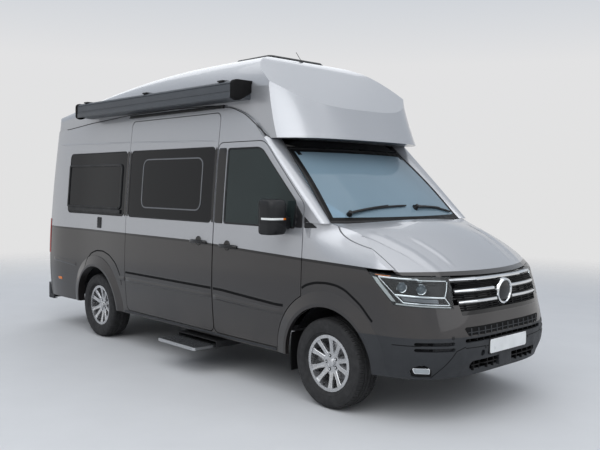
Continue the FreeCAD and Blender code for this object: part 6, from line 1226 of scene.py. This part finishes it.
# Left rear door: handle and plate; above the doors the high brake lamp
body = "rear_door_left"
door = on_rear(body)
Form("rear_handle", GLOSS, body).pad(rect(0.05, 0.235, 1.15, 1.215), 0.008, door, 0.005,
    edge=0.003).sweep(bowed(door, (0.062, 1.186), (0.222, 1.186), 24, lambda t: 0.006 + 0.026 * sin(pi * t) ** 0.5),
    ring(0.011, 12, 0.008))
Form("rear_plate_panel", GLOSS, body).pad(rect(0.105, 0.685, 0.89, 1.07, 0.015), 0.015, door,
    0.004).line([(0.12, 1.055), (0.67, 1.055)], 0.02, door, hump(0.026, 0.016), 0.003)
spot, normal = door(0.395, 0.965)
plate("rear_plate", spot + normal * 0.0065, normal, body)
lintel = on_rear("rear_frame")
stop = Form("high_brake_lamp", RED_LENS)
stop.pad(rect(-0.165, 0.165, 2.345, 2.372, 0.01), 0.008, lintel, 0.01, -0.003, 0.004)
for y in span(0.14, 8):
    stop.line([(y, 2.35), (y, 2.367)], 0.004, lintel, hump(0.022, 0.002), 0.009)

# Rear bumper, sensors of both bumpers and the step
tail = on_rear("rear_bumper")
SENSOR = mm(0, 3, 9, 3, 10, 1.5, 12.5, 1.5, 13.5, -2, 0, -2)
reflect, sensors = Form("rear_reflectors", RED_LENS), Form("parking_sensors", BLACK)
for sign in (-1, 1):
    reflect.pad(mirrored(rect(0.78, 0.9, 0.418, 0.452, 0.01), sign), 0.008, tail, 0.006, edge=0.003)
    for found in (tail(sign * 0.3, 0.455), tail(sign * 0.66, 0.455), BUMPER(sign * 0.3, 0.56),
            BUMPER(sign * 0.62, 0.655)):
        sensors.stud(found, SENSOR)
treads = Form("bumper_step_ribs", BLACK)
for x in (-2.975 + k * 0.009 for k in range(6)):
    treads.line([(x, -0.55), (x, 0.55)], 0.05, on_top("rear_bumper"), hump(0.005, 0.003))
step_top = on_top("step_tread")
ribs = Form("step_ribs", BLACK, "step")
for y in (-1.185 + k * 0.0155 for k in range(13)):
    ribs.line([(-0.04, y), (0.52, y)], 0.04, step_top, hump(0.0085, 0.0035))
Form("step_nosing", SATIN, "step").line([(-0.045, -1.198), (0.525, -1.198)], 0.04, step_top, strip(0.01, 0.003))


# Padded pieces: rounded closed forms with a crown, pulled-in sides and sewn channels
def cushion(name, middle, size, turn, material, node, crown=0.01, bolster=0.0, seams=(), cross=(), radius=0.045,
        cuts=30):
    """A pad about its middle; size is its width, its length and its thickness before turning"""
    half = Vector(size) / 2
    bm = bmesh.new()
    bmesh.ops.create_cube(bm, size=2.0)
    bmesh.ops.subdivide_edges(bm, edges=bm.edges[:], cuts=cuts, use_grid_fill=True)
    core = Vector(max(0.001, h - radius) for h in half)
    for v in bm.verts:
        a, b, c = v.co
        p = Vector((a * half.x, b * half.y, c * half.z))
        inner = Vector(max(-core[i], min(core[i], p[i])) for i in range(3))
        way = p - inner
        way = way.normalized() if way.length > 1e-6 else Vector((0, 0, c))
        p = inner + way * radius * 0.96
        rise = crown * (1 - a * a) * (1 - b * b)
        rise += bolster * (exp(-((abs(a) - 0.8) / 0.14) ** 2) - 0.35 * exp(-(a / 0.55) ** 4))
        for at, lines in ((a * half.x, seams), (b * half.y, cross)):
            for s in lines:
                rise -= 0.01 * exp(-((at - s) / 0.007) ** 2)
        p.z += rise * max(0.0, way.z)
        edge = 1 - abs(way.z)
        p.x -= 0.012 * way.x * edge * (1 - b * b)
        p.y -= 0.008 * way.y * edge * (1 - a * a)
        p += way * 0.0012 * (sin(a * 9.0 + b * 4.0) * cos(b * 7.0 - a * 3.0))
        groove = exp(-((c * half.z - half.z * 0.3) / 0.006) ** 2) * edge
        p -= Vector((way.x, way.y, 0)) * 0.004 * groove
        v.co = turn @ p + Vector(middle)
    bmesh.ops.recalc_face_normals(bm, faces=bm.faces[:])
    mesh = bpy.data.meshes.new(name)
    bm.to_mesh(mesh)
    bm.free()
    o = joined(name, mesh, material, "body", SLOTS[material.name])
    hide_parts(node)


LEAN = atan2(0.035, 0.64)
UPRIGHT_SEAT = Matrix(((0, 1, 0), (-sin(LEAN), 0, cos(LEAN)), (cos(LEAN), 0, sin(LEAN)))).transposed()
LYING = Matrix(((0, 1, 0), (-1, 0, 0), (0, 0, 1))).transposed()
SEAT = ((-0.16, 0.16), (0.0,), (-0.06, 0.06))
BENCH = ((-0.25, 0.0, 0.25), (-0.19, 0.19), (-0.25, -0.13, 0.13, 0.25))
for side, y, x, width, (seams, heads, pins) in (("right", -0.48, 0.56, 0.5, SEAT), ("left", 0.48, 0.56, 0.5, SEAT),
        ("bench", 0.48, -0.32, 0.77, BENCH)):
    cushion("seat_cushion_" + side, (x + 0.405, y, 0.883), (width - 0.012, 0.49, 0.14), LYING, CLOTH, "seats",
        bolster=0.012, seams=seams, cross=(-0.1, 0.08))
    cushion("seat_back_" + side, (x + 0.098, y, 1.275), (width - 0.012, 0.655, 0.105), UPRIGHT_SEAT, CLOTH, "seats",
        0.008, 0.014, seams, (-0.12, 0.1, 0.22))
    for k, shift in enumerate(heads):
        cushion("head_rest_%s_%d" % (side, k), (x + 0.068, y + shift, 1.69), (0.25, 0.18, 0.085), UPRIGHT_SEAT,
            CLOTH, "seats", radius=0.038, cuts=18)
    posts = Form("head_rest_posts_" + side, CHROME)
    for shift in pins:
        posts.sweep([(Vector((x + 0.07, y + shift, 1.57 + 0.02 * k)), Vector((1, 0, 0))) for k in range(5)],
            ring(0.006))
    base = Form("seat_base_" + side, DASH, replaces=("seats",))
    for x0, x1, inset, z0, z1, bevel in ((0.185, 0.56, 0.045, 0.591, 0.822, 0.012),
            (0.165, 0.64, 0.01, 0.8, 0.826, 0.01)):
        reach = width / 2 - inset
        base.block((x + x0, y - reach, z0), (x + x1, y + reach, z1), bevel, segments=3)
    if side != "bench":
        base.lathe((x + 0.3, y + width / 2 - 0.012, 0.87), (0, 1, 0), mm(0, 20, 20, 20, 26, 14, 26, 0, 0, 0))

for k, sign in enumerate((-1, 1)):
    cushion("mattress_%d" % k, (-2.095, sign * 0.4605, 1.246), (1.19, 0.915, 0.112), Matrix.Identity(3), TICKING,
        "rear_bed", seams=(-0.3, 0.0, 0.3), radius=0.04, cuts=34)
bed = Form("bed_board", CABINET, replaces=("rear_bed",)).block((-2.693, -0.92, 1.166), (-1.497, 0.92, 1.19), 0.005)
for x in (-2.65, -1.62):
    for y in (-0.56, 0.56):
        bed.block((x, y - 0.02, 0.591), (x + 0.04, y + 0.02, 1.168))

# Cab: instruments, screens, hub of the steering wheel and visors
HOOD_TURN, PANEL_TURN = Matrix.Rotation(0.12, 3, "Y"), Matrix.Rotation(-0.1, 3, "Y")
dash = Form("dash_instruments", DASH).block((1.3, 0.33, 1.36), (1.48, 0.63, 1.43), 0.025, HOOD_TURN, 4)
dash.block((1.318, -0.13, 1.13), (1.372, 0.14, 1.405), 0.014, PANEL_TURN, 3)
for y in (-0.8, -0.24, 0.2, 0.78):
    dash.block((1.31, y - 0.055, 1.3), (1.345, y + 0.055, 1.36), 0.01, segments=3)
screen = Form("dash_screens", GLOSS).block((1.306, -0.115, 1.255), (1.33, 0.125, 1.392), 0.006, PANEL_TURN)
screen.block((1.294, 0.365, 1.372), (1.312, 0.595, 1.418), 0.005, HOOD_TURN)
for y in (-0.845 + 0.016 * k for k in range(6)):
    screen.block((1.3085, y, 1.306), (1.312, y + 0.004, 1.354), 0.0005)
column = Vector((-cos(radians(38)), 0, sin(radians(38))))
Form("steering_hub_pad", DASH, "steering_wheel").lathe(Vector((1.215, 0.48, 1.3)) + column * 0.012, column,
    mm(0, 34, 35, 32, 62, 24, 74, 8, 74, -10, 0, -10), 44)
visors = Form("sun_visors", DASH)
for y in (-0.44, 0.44):
    visors.block((1.2, y - 0.2, 2.0), (1.222, y + 0.2, 2.12), 0.01, Matrix.Rotation(0.75, 3, "Y"), 3)

# Living room: worktop with a basin, hob and tap, and fronts with their pulls
Form("kitchen_worktop", WORKTOP).block((-0.768, -0.945, 1.4715), (0.248, -0.53, 1.494), 0.006, segments=3)
basin = Form("kitchen_basin", SATIN).lathe((-0.5, -0.735, 1.4945), Z_AXIS,
    mm(150, 2, 156, 4, 166, 2, 166, -2, 150, -6), 48, True)
for x, y in ((-0.08, -0.81), (0.1, -0.66)):
    for r in (40, 75):
        basin.lathe((x, y, 1.4965), Z_AXIS, mm(r, 0, r + 4, 5, r + 9, 0, r + 4, -3), 36, True)
basin.sweep([(Vector((-0.5, -0.905, z)), Vector((0, 1, 0))) for z in (1.49, 1.56, 1.64)], ring(0.01, 14))
spout = curve([(-0.5, -0.905, 1.635), (-0.5, -0.885, 1.665), (-0.5, -0.8, 1.665), (-0.5, -0.77, 1.64)], 0.01)
basin.sweep([(p, Vector((1, 0, 0))) for p in spout], ring(0.009, 14))
fronts, pulls = Form("furniture_fronts", CABINET), Form("furniture_pulls", SATIN)
for x in (-0.735, -0.41, -0.085):
    for z0, z1 in ((0.66, 1.03), (1.04, 1.24), (1.25, 1.45)):
        fronts.block((x, -0.513, z0), (x + 0.315, -0.495, z1))
        pulls.block((x + 0.1, -0.4955, z1 - 0.04), (x + 0.215, -0.483, z1 - 0.028), 0.003)

# All pieces have their forms now
for form in FORMS:
    form.done()

# Camera, backdrop, floor and light
camera = bpy.data.objects.new("camera", bpy.data.cameras.new("camera"))
camera.data.lens = 43.953
camera.data.sensor_width = 36.0
camera.data.clip_end = 200.0
camera.matrix_world = Matrix.Translation(EYE) @ Matrix((ACROSS, UPRIGHT, -LOOK)).transposed().to_4x4()
SCENE.collection.objects.link(camera)
SCENE.camera = camera
SCENE.view_settings.view_transform = "Standard"


def make_world():
    """Light from all round, and a plain backdrop for the rays that show it"""
    world = bpy.data.worlds.new("studio")
    SCENE.world = world
    world.use_nodes = True
    n = Nodes(world.node_tree)
    height = n.node("SeparateXYZ", {0: n.node("TexCoord").outputs["Generated"]}).outputs[2]

    def ramp(stops):
        found = n.node("ValToRGB", {0: height})
        band = found.color_ramp
        while len(band.elements) < len(stops):
            band.elements.new(1.0)
        for spot, (place, colour) in zip(band.elements, stops):
            spot.position = place
            spot.color = colour
        return found.outputs[0]

    back = n.t.nodes["Background"]
    back.inputs["Strength"].default_value = 0.7
    n.link(ramp([(0.0, (0.3, 0.31, 0.33, 1)), (0.55, (0.62, 0.68, 0.78, 1))]), back.inputs["Color"])
    plain = n.node("Background", {"Color": ramp([(place, linear(colour)) for place,
        colour in ((0.0, (226, 226, 226)), (0.16, (226, 226, 227)), (0.3, (196, 203, 212)), (0.6, (214, 219, 226)),
        (1.0, (240, 242, 245)))])})
    path = n.node("LightPath").outputs
    shown = n.math("MAXIMUM", n.math("MAXIMUM", path["Is Camera Ray"], path["Is Glossy Ray"]),
        path["Is Transmission Ray"])
    n.link(n.shaders(shown, back.outputs[0], plain.outputs[0]), n.t.nodes["World Output"].inputs["Surface"])


def make_floor():
    """Round pale floor under the van, clear towards its edge"""
    bm = bmesh.new()
    bmesh.ops.create_circle(bm, cap_ends=True, segments=96, radius=30.0)
    mesh = bpy.data.meshes.new("floor")
    bm.to_mesh(mesh)
    bm.free()
    floor = bpy.data.objects.new("floor", mesh)
    SCENE.collection.objects.link(floor)
    m = Mat("pale_floor", (206, 207, 208), 0.75)
    m.vary((206, 207, 208), 0.02, 2.0)
    m.bump(m.noise(90.0, 4.0), 0.08)
    x, y = m.axes()[:2]
    far = m.math("SQRT", m.math("ADD", m.math("MULTIPLY", x, x), m.math("MULTIPLY", y, y)))
    m.surface(m.shaders(m.ramp(far, 5.5, 13.0), m.b.outputs[0], m.node("BsdfTransparent").outputs[0]))
    mesh.materials.append(m.m)
    floor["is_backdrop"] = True


make_world()
make_floor()
# Lamps: where they stand, what they aim at, their size and their power in watts
for name, place, aim, size, power in (("key", (4.0, -7.5, 8.0), (0.5, 0, 1.0), (14.0, 9.0), 690),
        ("front", (10.0, 2.0, 5.5), (1.5, 0, 1.2), (9.0, 7.0), 170),
        ("overhead", (0.0, 0.0, 9.0), (0.0, 0.0, 0.0), (14.0, 9.0), 250),
        ("back", (-8.0, 6.5, 6.0), (-1.0, 0, 1.4), (10.0, 8.0), 210)):
    light = bpy.data.lights.new(name, "AREA")
    light.shape = "RECTANGLE"
    light.size, light.size_y = size
    light.energy = power
    o = bpy.data.objects.new(name, light)
    o.location = place
    o.rotation_mode = "QUATERNION"
    o.rotation_quaternion = (Vector(aim) - Vector(place)).to_track_quat("-Z", "Y")
    SCENE.collection.objects.link(o)

low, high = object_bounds()
{"cad": [list(CAD_LOW), list(CAD_HIGH)], "visual": [list(low), list(high)]}
